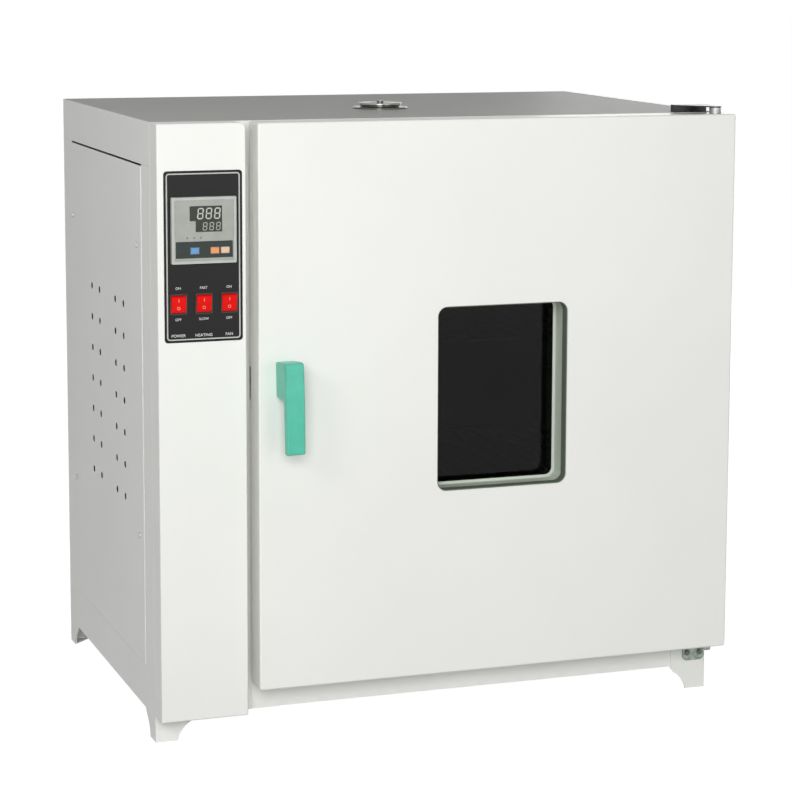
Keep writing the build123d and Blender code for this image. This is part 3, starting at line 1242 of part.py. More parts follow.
# Latch bush through the door
shaft_bore = SHAFT_DIAMETER + 2 * RUNNING_FIT
with BuildPart() as latch_bush:
    rod((latch_x, y_door + SEAM, latch_z), (latch_x, y_door_back, latch_z), LATCH_BUSH)
    rod((latch_x, y_door - 1, latch_z), (latch_x, y_door_back + 1, latch_z), shaft_bore, Mode.SUBTRACT)
latch_bush.part.label = "latch_bush"
export_step(latch_bush.part, "parts/latch_bush.step")

# Hinge bushes: a flange outside the door and a spigot inside it, at the top and the bottom
z_low_tab = door_low - LOW_HINGE_GAP
with BuildPart() as hinge_bushes:
    for face_z, way, gap in ((z_top, 1, TOP_HINGE_RISE - SEAM), (door_low, -1, LOW_HINGE_GAP - SEAM)):
        rod((hinge_x, hinge_y, face_z), (hinge_x, hinge_y, face_z + way * gap), BUSH_DIAMETER)
        rod((hinge_x, hinge_y, face_z), (hinge_x, hinge_y, face_z - way * 1.3 * PIN_REACH), SPIGOT_DIAMETER)
        rod(
            (hinge_x, hinge_y, face_z + way * (gap + 1)),
            (hinge_x, hinge_y, face_z - way * (PIN_REACH + SEAM)),
            PIN_DIAMETER + 2 * RUNNING_FIT, Mode.SUBTRACT,
        )
hinge_bushes.part.label = "hinge_bushes"
export_step(hinge_bushes.part, "parts/hinge_bushes.step")

# Top hinge bracket: a block on the top cover with a plate that reaches over the door
eye_left = (hinge_x - HINGE_EYE, hinge_y)
eye_right = (hinge_x + HINGE_EYE, hinge_y)
eye_front = (hinge_x, hinge_y - HINGE_EYE)
block_right = hinge_x + BUSH_DIAMETER / 4
block_left = block_right - HINGE_BLOCK_WIDTH
plate_z_low = z_top + TOP_HINGE_RISE
with BuildPart() as top_hinge_bracket:
    block(block_left, block_right, y_front, y_front + HINGE_BLOCK_DEPTH, z_top, plate_z_low)
    with BuildSketch(Plane.XY.offset(plate_z_low)):
        with BuildLine():
            Polyline(
                (block_left, y_front + HINGE_BLOCK_DEPTH),
                (block_left, y_front),
                eye_left,
            )
            ThreePointArc(eye_left, eye_front, eye_right)
            Polyline(
                eye_right,
                (hinge_x + HINGE_EYE, y_front),
                (block_right, y_front + HINGE_BLOCK_DEPTH),
                (block_left, y_front + HINGE_BLOCK_DEPTH),
            )
        make_face()
        with Locations((hinge_x, hinge_y)):
            Circle(PIN_DIAMETER / 2 + RUNNING_FIT, mode=Mode.SUBTRACT)
    extrude(amount=HINGE_PLATE)
top_hinge_bracket.part.label = "top_hinge_bracket"
export_step(top_hinge_bracket.part, "parts/top_hinge_bracket.step")

with BuildPart() as top_hinge_pin:
    rod((hinge_x, hinge_y, z_top - PIN_REACH), (hinge_x, hinge_y, plate_z_low + HINGE_PLATE), PIN_DIAMETER)
top_hinge_pin.part.label = "top_hinge_pin"
export_step(top_hinge_pin.part, "parts/top_hinge_pin.step")

# Bottom hinge bracket: a plate on the front frame, a tab under the door and a pin up into it
low_right = x_right - LOW_HINGE_INSET
low_left = low_right - LOW_HINGE_WIDTH
with BuildPart() as bottom_hinge_bracket:
    with BuildSketch(front_plane(y_front)):
        with Locations(((low_left + low_right) / 2, z_low_tab - LOW_HINGE_DROP / 2)):
            Rectangle(LOW_HINGE_WIDTH, LOW_HINGE_DROP)
    extrude(amount=LOW_HINGE_SHEET)
    fillet(bottom_hinge_bracket.edges().filter_by(Axis.Y).group_by(Axis.Z)[0], radius=LOW_HINGE_SHEET * 3)
    with BuildSketch(Plane.XY.offset(z_low_tab - LOW_HINGE_SHEET)):
        with BuildLine():
            Polyline(
                eye_left,
                (low_left, y_front),
                (low_right, y_front),
                eye_right,
            )
            ThreePointArc(eye_right, eye_front, eye_left)
        make_face()
    extrude(amount=LOW_HINGE_SHEET)
    rod((hinge_x, hinge_y, z_low_tab - SEAM), (hinge_x, hinge_y, door_low + PIN_REACH), PIN_DIAMETER)
    screw_z = z_low_tab - HINGE_SCREW_DROP
    hinge_screw_x = [(low_left + low_right) / 2 + way * HINGE_SCREW_SPAN / 2 for way in (-1, 1)]
bottom_hinge_bracket.part.label = "bottom_hinge_bracket"
export_step(bottom_hinge_bracket.part, "parts/bottom_hinge_bracket.step")

with BuildPart() as hinge_screws:
    for x in hinge_screw_x:
        face = y_front - LOW_HINGE_SHEET
        rod((x, face, screw_z), (x, face - SCREW_HEAD_RISE, screw_z), SCREW_HEAD)
    front_rims = hinge_screws.edges().filter_by(GeomType.CIRCLE).group_by(Axis.Y)[0]
    chamfer(front_rims, length=SCREW_HEAD_BEVEL)
hinge_screws.part.label = "hinge_screws"
export_step(hinge_screws.part, "parts/hinge_screws.step")

# Latch keeper: a bracket behind the front frame, beside the tongue
keeper_left = partition_right + SEAM
keeper_right = pocket_left + SEAM
keeper_back = y_front + SHEET + KEEPER_DEPTH
keeper_span = (latch_z - KEEPER_HEIGHT / 2, latch_z + KEEPER_HEIGHT / 2)
with BuildPart() as latch_keeper:
    block(keeper_left, keeper_right, y_front + SHEET, keeper_back, *keeper_span)
    block(keeper_left, pocket_right, keeper_back - KEEPER_SHEET, keeper_back, *keeper_span)
latch_keeper.part.label = "latch_keeper"
export_step(latch_keeper.part, "parts/latch_keeper.step")

# Handle lever: a tall boss on the shaft and a bowed grip that hangs down in front of it, a little askew
y_handle = y_door - HANDLE_STANDOFF
grip_back = y_handle + HANDLE_BOW + HANDLE_GRIP
boss_half = BOSS_HEIGHT / 2
grip_top = boss_half + HANDLE_OVERTOP
grip_low = grip_top - HANDLE_LENGTH
lean = radians(HANDLE_LEAN)
lever_plane = Plane(origin=(latch_x, 0, latch_z), x_dir=(0, 1, 0), z_dir=(cos(lean), 0, sin(lean)))
with BuildPart() as handle_lever:
    with BuildSketch(lever_plane.offset(-HANDLE_WIDTH / 2)):
        with BuildLine():
            Polyline(
                (y_handle + HANDLE_BOW, grip_low),
                (grip_back, grip_low),
                (grip_back, -boss_half),
                (y_door - SEAM, -boss_half),
                (y_door - SEAM, boss_half),
                (grip_back, grip_top),
                (y_handle + HANDLE_BOW, grip_top),
            )
            ThreePointArc(
                (y_handle + HANDLE_BOW, grip_top),
                (y_handle, (grip_top + grip_low) / 2),
                (y_handle + HANDLE_BOW, grip_low),
            )
        make_face()
        fillet(vertices().group_by(Axis.Z)[0] + vertices().group_by(Axis.Z)[-1], radius=HANDLE_ROUND)
    extrude(amount=HANDLE_WIDTH)
    lever_sides = handle_lever.faces().sort_by(Axis.X)
    outer_edges = lever_sides[0].edges() + lever_sides[-1].edges()
    fillet(outer_edges.filter_by(lambda edge: edge.center().Y < y_door - 1), radius=HANDLE_ROUND / 2)
    rod((latch_x, y_door, latch_z), (latch_x, grip_back, latch_z), shaft_bore, Mode.SUBTRACT)
handle_lever.part.label = "handle_lever"
export_step(handle_lever.part, "parts/handle_lever.step")

# Latch shaft with the tongue on its inner end
tongue_y = y_front + SHEET + TONGUE_DEPTH
with BuildPart() as latch_shaft:
    rod((latch_x, grip_back + SEAM, latch_z), (latch_x, tongue_y, latch_z), SHAFT_DIAMETER)
    with BuildSketch(front_plane(tongue_y)):
        with Locations((latch_x, latch_z)):
            Circle(TONGUE_WIDTH / 2)
        with Locations((latch_x - TONGUE_LENGTH / 2, latch_z)):
            Rectangle(TONGUE_LENGTH, 0.75 * TONGUE_WIDTH)
    extrude(amount=TONGUE_SHEET)
latch_shaft.part.label = "latch_shaft"
export_step(latch_shaft.part, "parts/latch_shaft.step")
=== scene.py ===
"""Looks for a laboratory drying oven with forced air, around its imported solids. Metres, +Z up, front -Y."""
from math import cos, pi, radians, sin

import bmesh
import bpy
from mathutils import Matrix, Vector


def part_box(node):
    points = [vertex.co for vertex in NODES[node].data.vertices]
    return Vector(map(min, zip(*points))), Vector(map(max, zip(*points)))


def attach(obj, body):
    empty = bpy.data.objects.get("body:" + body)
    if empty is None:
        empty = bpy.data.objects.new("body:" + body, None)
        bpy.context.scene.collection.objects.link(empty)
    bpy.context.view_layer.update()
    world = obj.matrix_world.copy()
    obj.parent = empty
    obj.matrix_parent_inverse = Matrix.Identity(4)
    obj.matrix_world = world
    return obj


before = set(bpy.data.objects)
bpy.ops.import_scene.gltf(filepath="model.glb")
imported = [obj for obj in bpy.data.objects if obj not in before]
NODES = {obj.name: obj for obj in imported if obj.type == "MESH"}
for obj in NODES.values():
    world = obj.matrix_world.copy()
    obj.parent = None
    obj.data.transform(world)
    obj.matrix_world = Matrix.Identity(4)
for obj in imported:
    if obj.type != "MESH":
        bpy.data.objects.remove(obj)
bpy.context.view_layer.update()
scene = bpy.context.scene
scene.view_settings.view_transform = "Standard"

MM = 0.001

# Camera, matched to the photograph: degrees, metres and pixels of its 792 pixel frame; it aims at a point on
# the body's front, given from the body's left side and from the floor
FRAME_SIZE = 792
CAMERA_YAW = 19.91
CAMERA_PITCH = 7.84
CAMERA_ROLL = 0.28
CAMERA_DISTANCE = 3.779
CAMERA_AIM = (0.4267, 0.642)
FOCAL_PIXELS = 2523.3
CENTRE_X = 429.6
CENTRE_Y = 300.0
SENSOR_MM = 36

# Lamps: place and aim in metres, then size in metres and power in watts
LAMPS = {
    "key": ((-1.5, -4.2, 1.8), (0, 0, 0.6), 2.0, 119),
    "front": ((1.6, -4.4, 1.2), (0, 0, 0.5), 2.4, 30),
    "side": ((-1.9, -1.5, 1.7), (-0.4, -0.1, 0.8), 0.7, 9),
    "fill": ((3.2, 3.4, 1.0), (0, 0, 0.5), 3.0, 45),
}
WORLD_LIGHT = 0.12
FLOOR_SIZE = 30
FLOOR_GREY = 0.5
FLOOR_SHADOW_GREY = 0.3
FLOOR_GLOW = 0.97

# Places on the control plate, in millimetres from the middle of the piece that they belong to
BORDER_INSET = 3.4
BORDER_WIDTH = 1.8
BORDER_CORNER = 4.6
INK = 0.12
DIGIT_HEIGHTS = {"upper": 14.5, "lower": 10.5}
DIGIT_PITCH = {"upper": 12.4, "lower": 9.8}
KEY_STRIP = (84, 24, -27.6)
LIGHTS_X = (-25, -15, -5)
LIGHTS_Z = -10.5
LABELS = {
    "power": ("ON", "OFF", "POWER"),
    "heating": ("FAST", "SLOW", "HEATING"),
    "fan": ("ON", "OFF", "FAN"),
}
LABEL_RISE = 22.5
LABEL_DROP = 22.5
NAME_DROP = 46
WORD_HEIGHT = 3.6
NAME_HEIGHT = 4.2
LIGHT_RADIUS = 1.6
KEY_CLEARANCE = 0.5
DISPLAY_MARGIN = 1.5

# The capitals of the default font are this share of its size
CAPITAL_SHARE = 0.7

# Where the two rows of digits stand, as shares of the display's height from its top and from its foot
UPPER_ROW = 0.29
LOWER_ROW = 0.21

# A seven-segment digit, as shares of its height: half its width, half a bar's width, the bar's shortening in
# bar widths, its lean, and the way from the right edge to the first digit's middle
DIGIT_HALF_WIDTH = 0.25
DIGIT_BAR = 0.055
DIGIT_BAR_GAP = 1.35
DIGIT_LEAN = 0.09
DIGIT_INDENT = 0.36

# Marks on the rockers, in millimetres: their places off the middle, the I, the O, and their seat and height
MARK_OFFSET = 5.6
BAR_WIDTH = 0.9
BAR_HEIGHT = 5
BAR_CORNER = 0.4
RING_OUTER = 2.4
RING_INNER = 1.6
MARK_SEAT = 0.02
MARK_HEIGHT = 0.1

# The vents of the left cover lie at least this far from its edges, in millimetres
VENT_MARGIN = 60


def srgb(red, green, blue):
    """A colour given in 0 to 255 as a linear one with alpha."""
    def linear(value):
        value /= 255
        return value / 12.92 if value <= 0.04045 else ((value + 0.055) / 1.055) ** 2.4
    return (linear(red), linear(green), linear(blue), 1)


def shade(colour, factor):
    """A linear colour made darker or lighter."""
    return tuple(min(1, channel * factor) for channel in colour[:3]) + (1,)


class Finish:
    """A material with its shader, and short ways to add nodes to it."""

    def __init__(self, name, roughness=0.5, metallic=0.0, **sockets):
        self.material = bpy.data.materials.new(name)
        self.material.use_nodes = True
        self.tree = self.material.node_tree
        self.shader = self.tree.nodes["Principled BSDF"]
        self.shader.inputs["Roughness"].default_value = roughness
        self.shader.inputs["Metallic"].default_value = metallic
        for socket, value in sockets.items():
            self.shader.inputs[socket.replace("_", " ")].default_value = value
        self.space = self.tree.nodes.new("ShaderNodeTexCoord")

    def node(self, kind, **values):
        made = self.tree.nodes.new(kind)
        for name, value in values.items():
            if name in made.inputs:
                made.inputs[name].default_value = value
            else:
                setattr(made, name, value)
        return made

    def join(self, source, target):
        self.tree.links.new(source, target)

    def stretched(self, scale):
        mapping = self.node("ShaderNodeMapping")
        mapping.inputs["Scale"].default_value = scale
        self.join(self.space.outputs["Object"], mapping.inputs["Vector"])
        return mapping.outputs["Vector"]

    def noise(self, scale, detail=3.0, stretch=None):
        texture = self.node("ShaderNodeTexNoise", Scale=scale, Detail=detail)
        source = self.stretched(stretch) if stretch else self.space.outputs["Object"]
        self.join(source, texture.inputs["Vector"])
        return texture.outputs["Fac"]

    def cells(self, scale, randomness=1.0):
        texture = self.node("ShaderNodeTexVoronoi", Scale=scale, Randomness=randomness)
        self.join(self.space.outputs["Object"], texture.inputs["Vector"])
        return texture

    def colours(self, factor, *stops):
        ramp = self.node("ShaderNodeValToRGB")
        points = ramp.color_ramp.elements
        while len(points) < len(stops):
            points.new(0.5)
        for point, (place, colour) in zip(points, stops):
            point.position = place
            point.color = colour
        self.join(factor, ramp.inputs["Fac"])
        return ramp.outputs["Color"]

    def paint(self, colour):
        self.join(colour, self.shader.inputs["Base Color"])

    def rough(self, factor, low, high):
        spread = self.node("ShaderNodeMapRange")
        spread.inputs["To Min"].default_value = low
        spread.inputs["To Max"].default_value = high
        self.join(factor, spread.inputs["Value"])
        self.join(spread.outputs["Result"], self.shader.inputs["Roughness"])

    def bump(self, height, strength, distance):
        relief = self.node("ShaderNodeBump", Strength=strength, Distance=distance)
        self.join(height, relief.inputs["Height"])
        self.join(relief.outputs["Normal"], self.shader.inputs["Normal"])


def enamel(name, colour, gloss=0.3, level=0.25):
    """Baked enamel on sheet steel: an even colour with faint clouding and a fine orange peel."""
    finish = Finish(name, gloss, Specular_IOR_Level=level)
    cloud = finish.noise(3.2, 4)
    finish.paint(finish.colours(cloud, (0.3, shade(colour, 0.975)), (0.7, shade(colour, 1.01))))
    finish.rough(finish.noise(14, 3), gloss - 0.03, gloss + 0.05)
    finish.bump(finish.noise(420, 2), 0.06, 0.0002)
    return finish.material


def galvanised(name, light, dark, scale=150):
    """Zinc with its flat crystal spangle."""
    finish = Finish(name, 0.4, 0.85)
    cells = finish.cells(scale)
    finish.paint(finish.colours(cells.outputs["Color"], (0.1, dark), (0.9, light)))
    finish.rough(cells.outputs["Distance"], 0.28, 0.5)
    finish.bump(finish.noise(900, 2), 0.08, 0.0001)
    return finish.material


def brushed(name, colour, stretch, roughness=0.3):
    """Metal with fine parallel scratches."""
    finish = Finish(name, roughness, 1.0)
    grain = finish.noise(60, 4, stretch)
    finish.paint(finish.colours(grain, (0.3, shade(colour, 0.85)), (0.7, shade(colour, 1.1))))
    finish.rough(grain, roughness - 0.07, roughness + 0.12)
    finish.bump(grain, 0.08, 0.0001)
    return finish.material


def plastic(name, colour, roughness=0.35, peel=700, strength=0.08, **sockets):
    """Moulded plastic: a slightly uneven colour and a fine moulded grain."""
    finish = Finish(name, roughness, **sockets)
    cloud = finish.noise(55, 3)
    finish.paint(finish.colours(cloud, (0.3, shade(colour, 0.93)), (0.7, shade(colour, 1.05))))
    finish.rough(finish.noise(120, 2), max(0.03, roughness - 0.05), roughness + 0.07)
    finish.bump(finish.noise(peel, 2), strength, 0.0001)
    return finish.material


def wool(name, colour):
    """Mineral wool: tangled fibres over soft lumps."""
    finish = Finish(name, 0.95)
    fibres = finish.noise(240, 6, (1, 3, 1))
    finish.paint(finish.colours(fibres, (0.3, shade(colour, 0.7)), (0.7, colour)))
    finish.bump(fibres, 0.6, 0.002)
    return finish.material


def oxidised(name):
    """Heater tube: steel with straw and blue heat colours along it."""
    finish = Finish(name, 0.45, 0.9)
    heat = finish.noise(18, 3)
    finish.paint(finish.colours(
        heat, (0.3, srgb(92, 80, 70)), (0.5, srgb(120, 104, 88)), (0.7, srgb(84, 84, 96)),
    ))
    finish.bump(finish.noise(500, 2), 0.1, 0.0002)
    return finish.material


def clear_glass(name):
    """Toughened glass tinted dark as painted shade for the chamber behind it, with a trace of dust."""
    finish = Finish(name, 0.02, IOR=1.25, Transmission_Weight=1.0)
    dust = finish.noise(9, 5)
    finish.paint(finish.colours(dust, (0.35, srgb(72, 74, 68)), (0.75, srgb(86, 88, 80))))
    finish.rough(dust, 0.01, 0.05)
    return finish.material


WHITE = srgb(241, 242, 237)
SKIN = enamel("white_enamel", WHITE)
# painted shade: a darker copy of the white enamel for the lid's flat top, with little reflection
TOP_PAINTED_SHADE = enamel("top_painted_shade_enamel", srgb(190, 192, 188), 0.4, 0.02)
SLEEVE = enamel("sleeve_enamel", srgb(206, 214, 202), 0.4, 0.1)
ZINC = galvanised("galvanised_zinc", srgb(176, 178, 176), srgb(132, 136, 136))
# painted shade: a darker, greener copy of the zinc for the bottom hinge under the door
SHADED_HINGE_ZINC = galvanised("hinge_zinc_painted_shade", srgb(150, 160, 150), srgb(108, 118, 110), 260)
BRIGHT_ZINC = galvanised("bright_zinc", srgb(205, 206, 204), srgb(150, 153, 152), 260)
STAINLESS = brushed("brushed_stainless", srgb(190, 190, 188), (1, 1, 40))
STAINLESS_WIRE = brushed("drawn_stainless", srgb(196, 196, 194), (8, 1, 8), 0.22)
STEEL = brushed("turned_steel", srgb(165, 165, 168), (1, 30, 30), 0.28)
CHROME = brushed("chrome", srgb(214, 214, 210), (1, 1, 1), 0.16)
# dull chrome for the exhaust flange and hinge screws, also laid on the damper disc's top as painted shade
DULL_CHROME_AND_PAINTED_SHADE = brushed("dull_chrome_and_painted_shade", srgb(96, 96, 90), (1, 1, 1), 0.2)
ALUMINIUM = brushed("cast_aluminium", srgb(172, 174, 176), (6, 6, 6), 0.42)
# painted shade: a dark finish for the walls of the vent holes, where shade falls
VENT_PAINTED_SHADE = enamel("vent_painted_shade", srgb(38, 40, 36), 0.6, 0.05)
BLACK_ENAMEL = enamel("black_enamel", srgb(26, 26, 26), 0.3, 0.4)
FILM = plastic("black_film", srgb(18, 19, 18), 0.3, 300, 0.04, Specular_IOR_Level=0.2)
SILVER_INK = plastic("silver_ink", srgb(188, 190, 186), 0.35, 900, 0.05)
WHITE_INK = plastic("white_ink", srgb(226, 228, 224), 0.5, 900, 0.05)
ROCKER_INK = plastic("rocker_ink", srgb(240, 152, 142), 0.5, 900, 0.05)
BEZEL = plastic("grey_bezel", srgb(184, 187, 181), 0.38)
FACE = plastic("grey_face", srgb(158, 162, 154), 0.4, 900, 0.04)
STRIP = plastic("dark_strip", srgb(45, 52, 50), 0.4, 900, 0.04, Specular_IOR_Level=0.25)
DISPLAY = plastic("display_filter", srgb(50, 52, 47), 0.3, 500, 0.02, Specular_IOR_Level=0.25)
UPPER_DIGITS = plastic("upper_digits", srgb(200, 202, 192), 0.4)
LOWER_DIGITS = plastic("lower_digits", srgb(168, 170, 160), 0.4)
LIGHTS = plastic("indicator_lights", srgb(120, 122, 112), 0.3)
BLACK_PLASTIC = plastic("black_plastic", srgb(24, 24, 24), 0.45)
RED = plastic("red_rocker", srgb(226, 16, 8), 0.4, 500, 0.04, Specular_IOR_Level=0.15)
BLUE_KEY = plastic("blue_key", srgb(92, 150, 205), 0.4)
ORANGE_KEY = plastic("orange_key", srgb(232, 150, 92), 0.4)
PALE_KEY = plastic("pale_key", srgb(226, 190, 156), 0.4)
TEAL = plastic("teal_handle", srgb(78, 190, 164), 0.3, 350, 0.06, Subsurface_Weight=0.15,
               Subsurface_Scale=0.004)
SILICONE = plastic("silicone", srgb(168, 62, 44), 0.6, 300, 0.2)
TRIM = plastic("grey_trim", srgb(106, 117, 102), 0.6, 300, 0.1, Specular_IOR_Level=0.15)
WOOL = wool("mineral_wool", srgb(214, 206, 176))
HEATER = oxidised("heater_tube")
GLASS_DARKENED_AS_SHADE = clear_glass("glass_painted_shade")

FINISHES = {
    "cover_screws": BRIGHT_ZINC, "chamber_liner": STAINLESS, "insulation_top": WOOL,
    "insulation_bottom": WOOL, "insulation_sides": WOOL, "partition": ZINC, "air_duct_plate": STAINLESS,
    "fan_motor": ALUMINIUM, "motor_bracket": ZINC, "heater": HEATER, "temperature_probe": STEEL,
    "left_shelf_rack": STAINLESS, "right_shelf_rack": STAINLESS, "lower_shelf": STAINLESS_WIRE,
    "upper_shelf": STAINLESS_WIRE, "control_plate": FILM, "controller_housing": BEZEL,
    "controller_face": FACE, "controller_display": DISPLAY, "power_switch_housing": BLACK_PLASTIC,
    "heating_switch_housing": BLACK_PLASTIC, "fan_switch_housing": BLACK_PLASTIC,
    "terminal_block": BLACK_PLASTIC, "heater_relay": ALUMINIUM, "exhaust_tube": STEEL,
    "exhaust_flange": DULL_CHROME_AND_PAINTED_SHADE, "exhaust_disc": CHROME, "mains_gland": BLACK_PLASTIC,
    "top_hinge_bracket": BLACK_ENAMEL, "top_hinge_pin": STEEL, "bottom_hinge_bracket": SHADED_HINGE_ZINC,
    "hinge_screws": DULL_CHROME_AND_PAINTED_SHADE, "latch_keeper": ZINC, "door_inner_skin": STAINLESS,
    "window_sleeve": SLEEVE, "window_trim": TRIM, "window_glass": GLASS_DARKENED_AS_SHADE,
    "door_insulation": WOOL, "door_gasket": SILICONE,
    "latch_bush": STEEL, "hinge_bushes": ZINC, "handle_lever": TEAL, "latch_shaft": STEEL,
    "fan_wheel": STAINLESS, "fan_shaft": STEEL, "power_rocker": RED, "heating_rocker": RED,
    "fan_rocker": RED, "set_key": BLUE_KEY, "raise_key": ORANGE_KEY, "lower_key": PALE_KEY,
}
for name, node in NODES.items():
    node.data.materials.clear()
    node.data.materials.append(FINISHES.get(name, SKIN))


def repaint(name, material, chosen):
    """Gives a second material to the faces of a node that a test on centre and normal picks."""
    mesh = NODES[name].data
    mesh.materials.append(material)
    for face in mesh.polygons:
        if chosen(face.center, face.normal):
            face.material_index = 1


# The lid's flat top and the damper's top are given darker finishes as painted shade, and the vents' punched
# edges are painted dark as the shade inside the holes
lid_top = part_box("top_cover")[1].z
repaint("top_cover", TOP_PAINTED_SHADE, lambda centre, normal: normal.z > 0.9 and centre.z > lid_top - 5 * MM)
# painted shade: the damper disc's upward faces get the darker dull chrome
repaint("exhaust_disc", DULL_CHROME_AND_PAINTED_SHADE, lambda centre, normal: normal.z > 0.7)
cover_low, cover_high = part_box("left_side_cover")
# painted shade on the walls of the left cover's vent holes
repaint("left_side_cover", VENT_PAINTED_SHADE, lambda centre, normal: (
    abs(normal.x) < 0.5 and centre.x < cover_low.x + 4 * MM
    and cover_low.y + VENT_MARGIN * MM < centre.y < cover_high.y - VENT_MARGIN * MM
    and cover_low.z + VENT_MARGIN * MM < centre.z < cover_high.z - VENT_MARGIN * MM))


def middle(node):
    """The centre of a node's box."""
    low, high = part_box(node)
    return (low + high) / 2


def add_piece(name, mesh_maker, material, body):
    """A new mesh piece from a function that fills a bmesh."""
    mesh = bpy.data.meshes.new(name)
    shape = bmesh.new()
    mesh_maker(shape)
    bmesh.ops.recalc_face_normals(shape, faces=shape.faces)
    shape.to_mesh(mesh)
    shape.free()
    mesh.materials.append(material)
    piece = bpy.data.objects.new(name, mesh)
    scene.collection.objects.link(piece)
    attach(piece, body)
    return piece


def raised(shape, outline, y, thickness, holes=()):
    """A flat plate facing the front: an outline of (x, z) points, its face thickness ahead of y."""
    rings = []
    for depth in (y, y - thickness):
        rings.append([[shape.verts.new((px, depth, pz)) for px, pz in loop] for loop in (outline, *holes)])
    back, front = rings
    for back_loop, front_loop in zip(back, front):
        for n, vertex in enumerate(back_loop):
            after = (n + 1) % len(back_loop)
            shape.faces.new((vertex, back_loop[after], front_loop[after], front_loop[n]))
    if not holes:
        shape.faces.new(front[0])
        shape.faces.new(list(reversed(back[0])))
        return
    for outer, inner in ((front[0], front[1]), (back[0], back[1])):
        for n in range(len(outer)):
            after = (n + 1) % len(outer)
            shape.faces.new((outer[n], outer[after], inner[after], inner[n]))


def rounded_outline(x, z, width, height, radius, steps=8):
    """Points round a rectangle with round corners."""
    points = []
    corners = ((1, 1, 0), (-1, 1, 90), (-1, -1, 180), (1, -1, 270))
    for side_x, side_z, start in corners:
        centre_x = x + side_x * (width / 2 - radius)
        centre_z = z + side_z * (height / 2 - radius)
        for n in range(steps + 1):
            angle = radians(start + 90 * n / steps)
            points.append((centre_x + radius * cos(angle), centre_z + radius * sin(angle)))
    return points


def circle_outline(x, z, radius, steps=24):
    """Points round a circle."""
    angles = [2 * pi * n / steps for n in range(steps)]
    return [(x + radius * cos(angle), z + radius * sin(angle)) for angle in angles]


def plate_border():
    """The silver line printed inside the edge of the control plate."""
    low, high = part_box("control_plate")
    x, z = (low.x + high.x) / 2, (low.z + high.z) / 2
    width = high.x - low.x - 2 * BORDER_INSET * MM
    height = high.z - low.z - 2 * BORDER_INSET * MM
    line = BORDER_WIDTH * MM
    outer = rounded_outline(x, z, width, height, BORDER_CORNER * MM)
    inner = rounded_outline(x, z, width - 2 * line, height - 2 * line, (BORDER_CORNER - BORDER_WIDTH) * MM)
    add_piece("plate_border", lambda shape: raised(shape, outer, low.y, INK * MM, [inner]), SILVER_INK,
              "cabinet")


SEGMENTS = {
    "top": (0, 1, True), "middle": (0, 0, True), "bottom": (0, -1, True),
    "upper_left": (-1, 0.5, False), "upper_right": (1, 0.5, False),
    "lower_left": (-1, -0.5, False), "lower_right": (1, -0.5, False),
}


def segment_outline(x, z, height, place):
    """One bar of a seven-segment digit, slanted to the right as such digits are."""
    side, level, flat = SEGMENTS[place]
    half_height = height / 2
    half_width = height * DIGIT_HALF_WIDTH
    bar = height * DIGIT_BAR
    length = (half_width if flat else half_height / 2) - bar * DIGIT_BAR_GAP
    centre = (side * half_width, level * half_height)
    if flat:
        points = [(-length - bar, 0), (-length, bar), (length, bar),
                  (length + bar, 0), (length, -bar), (-length, -bar)]
    else:
        points = [(0, -length - bar), (-bar, -length), (-bar, length),
                  (0, length + bar), (bar, length), (bar, -length)]
    placed = [(centre[0] + px, centre[1] + pz) for px, pz in points]
    return [(x + px + DIGIT_LEAN * pz, z + pz) for px, pz in placed]


def digits(name, count, right, z, height, pitch, material, y):
    """A row of lit seven-segment eights that ends at right."""
    def fill(shape):
        for n in range(count):
            x = right - height * DIGIT_INDENT - n * pitch
            for place in SEGMENTS:
                raised(shape, segment_outline(x, z, height, place), y, INK * MM)
    add_piece(name, fill, material, "cabinet")


def controller_details():
    """Digits, indicator lights and the dark strip round the keys."""
    face_low, face_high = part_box("controller_face")
    display_low, display_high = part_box("controller_display")
    x, z = (face_low.x + face_high.x) / 2, (face_low.z + face_high.z) / 2
    upper_z = display_high.z - UPPER_ROW * (display_high.z - display_low.z)
    lower_z = display_low.z + LOWER_ROW * (display_high.z - display_low.z)
    right = display_high.x - DISPLAY_MARGIN * MM
    digits("upper_digits", 3, right, upper_z, DIGIT_HEIGHTS["upper"] * MM, DIGIT_PITCH["upper"] * MM,
           UPPER_DIGITS, display_low.y)
    digits("lower_digits", 3, right, lower_z, DIGIT_HEIGHTS["lower"] * MM, DIGIT_PITCH["lower"] * MM,
           LOWER_DIGITS, display_low.y)

    def lights(shape):
        for light_x in LIGHTS_X:
            ring = circle_outline(x + light_x * MM, z + LIGHTS_Z * MM, LIGHT_RADIUS * MM)
            raised(shape, ring, face_low.y, INK * MM)
    add_piece("indicator_lights", lights, LIGHTS, "cabinet")

    width, height, strip_z = (value * MM for value in KEY_STRIP)
    keys = [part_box(key) for key in ("set_key", "raise_key", "lower_key")]
    slip = KEY_CLEARANCE * MM
    columns = sorted({x - width / 2, x + width / 2}
                     | {edge for low, high in keys for edge in (low.x - slip, high.x + slip)})
    key_low, key_high = keys[0][0].z - slip, keys[0][1].z + slip
    strip_low, strip_high = z + strip_z - height / 2, z + strip_z + height / 2

    def strip(shape):
        bands = [(x - width / 2, x + width / 2, key_high, strip_high),
                 (x - width / 2, x + width / 2, strip_low, key_low)]
        for n in range(0, len(columns) - 1, 2):
            bands.append((columns[n], columns[n + 1], key_low, key_high))
        for left, right_edge, low, high in bands:
            outline = [(left, low), (right_edge, low), (right_edge, high), (left, high)]
            raised(shape, outline, face_low.y, INK * MM)
    add_piece("key_strip", strip, STRIP, "cabinet")


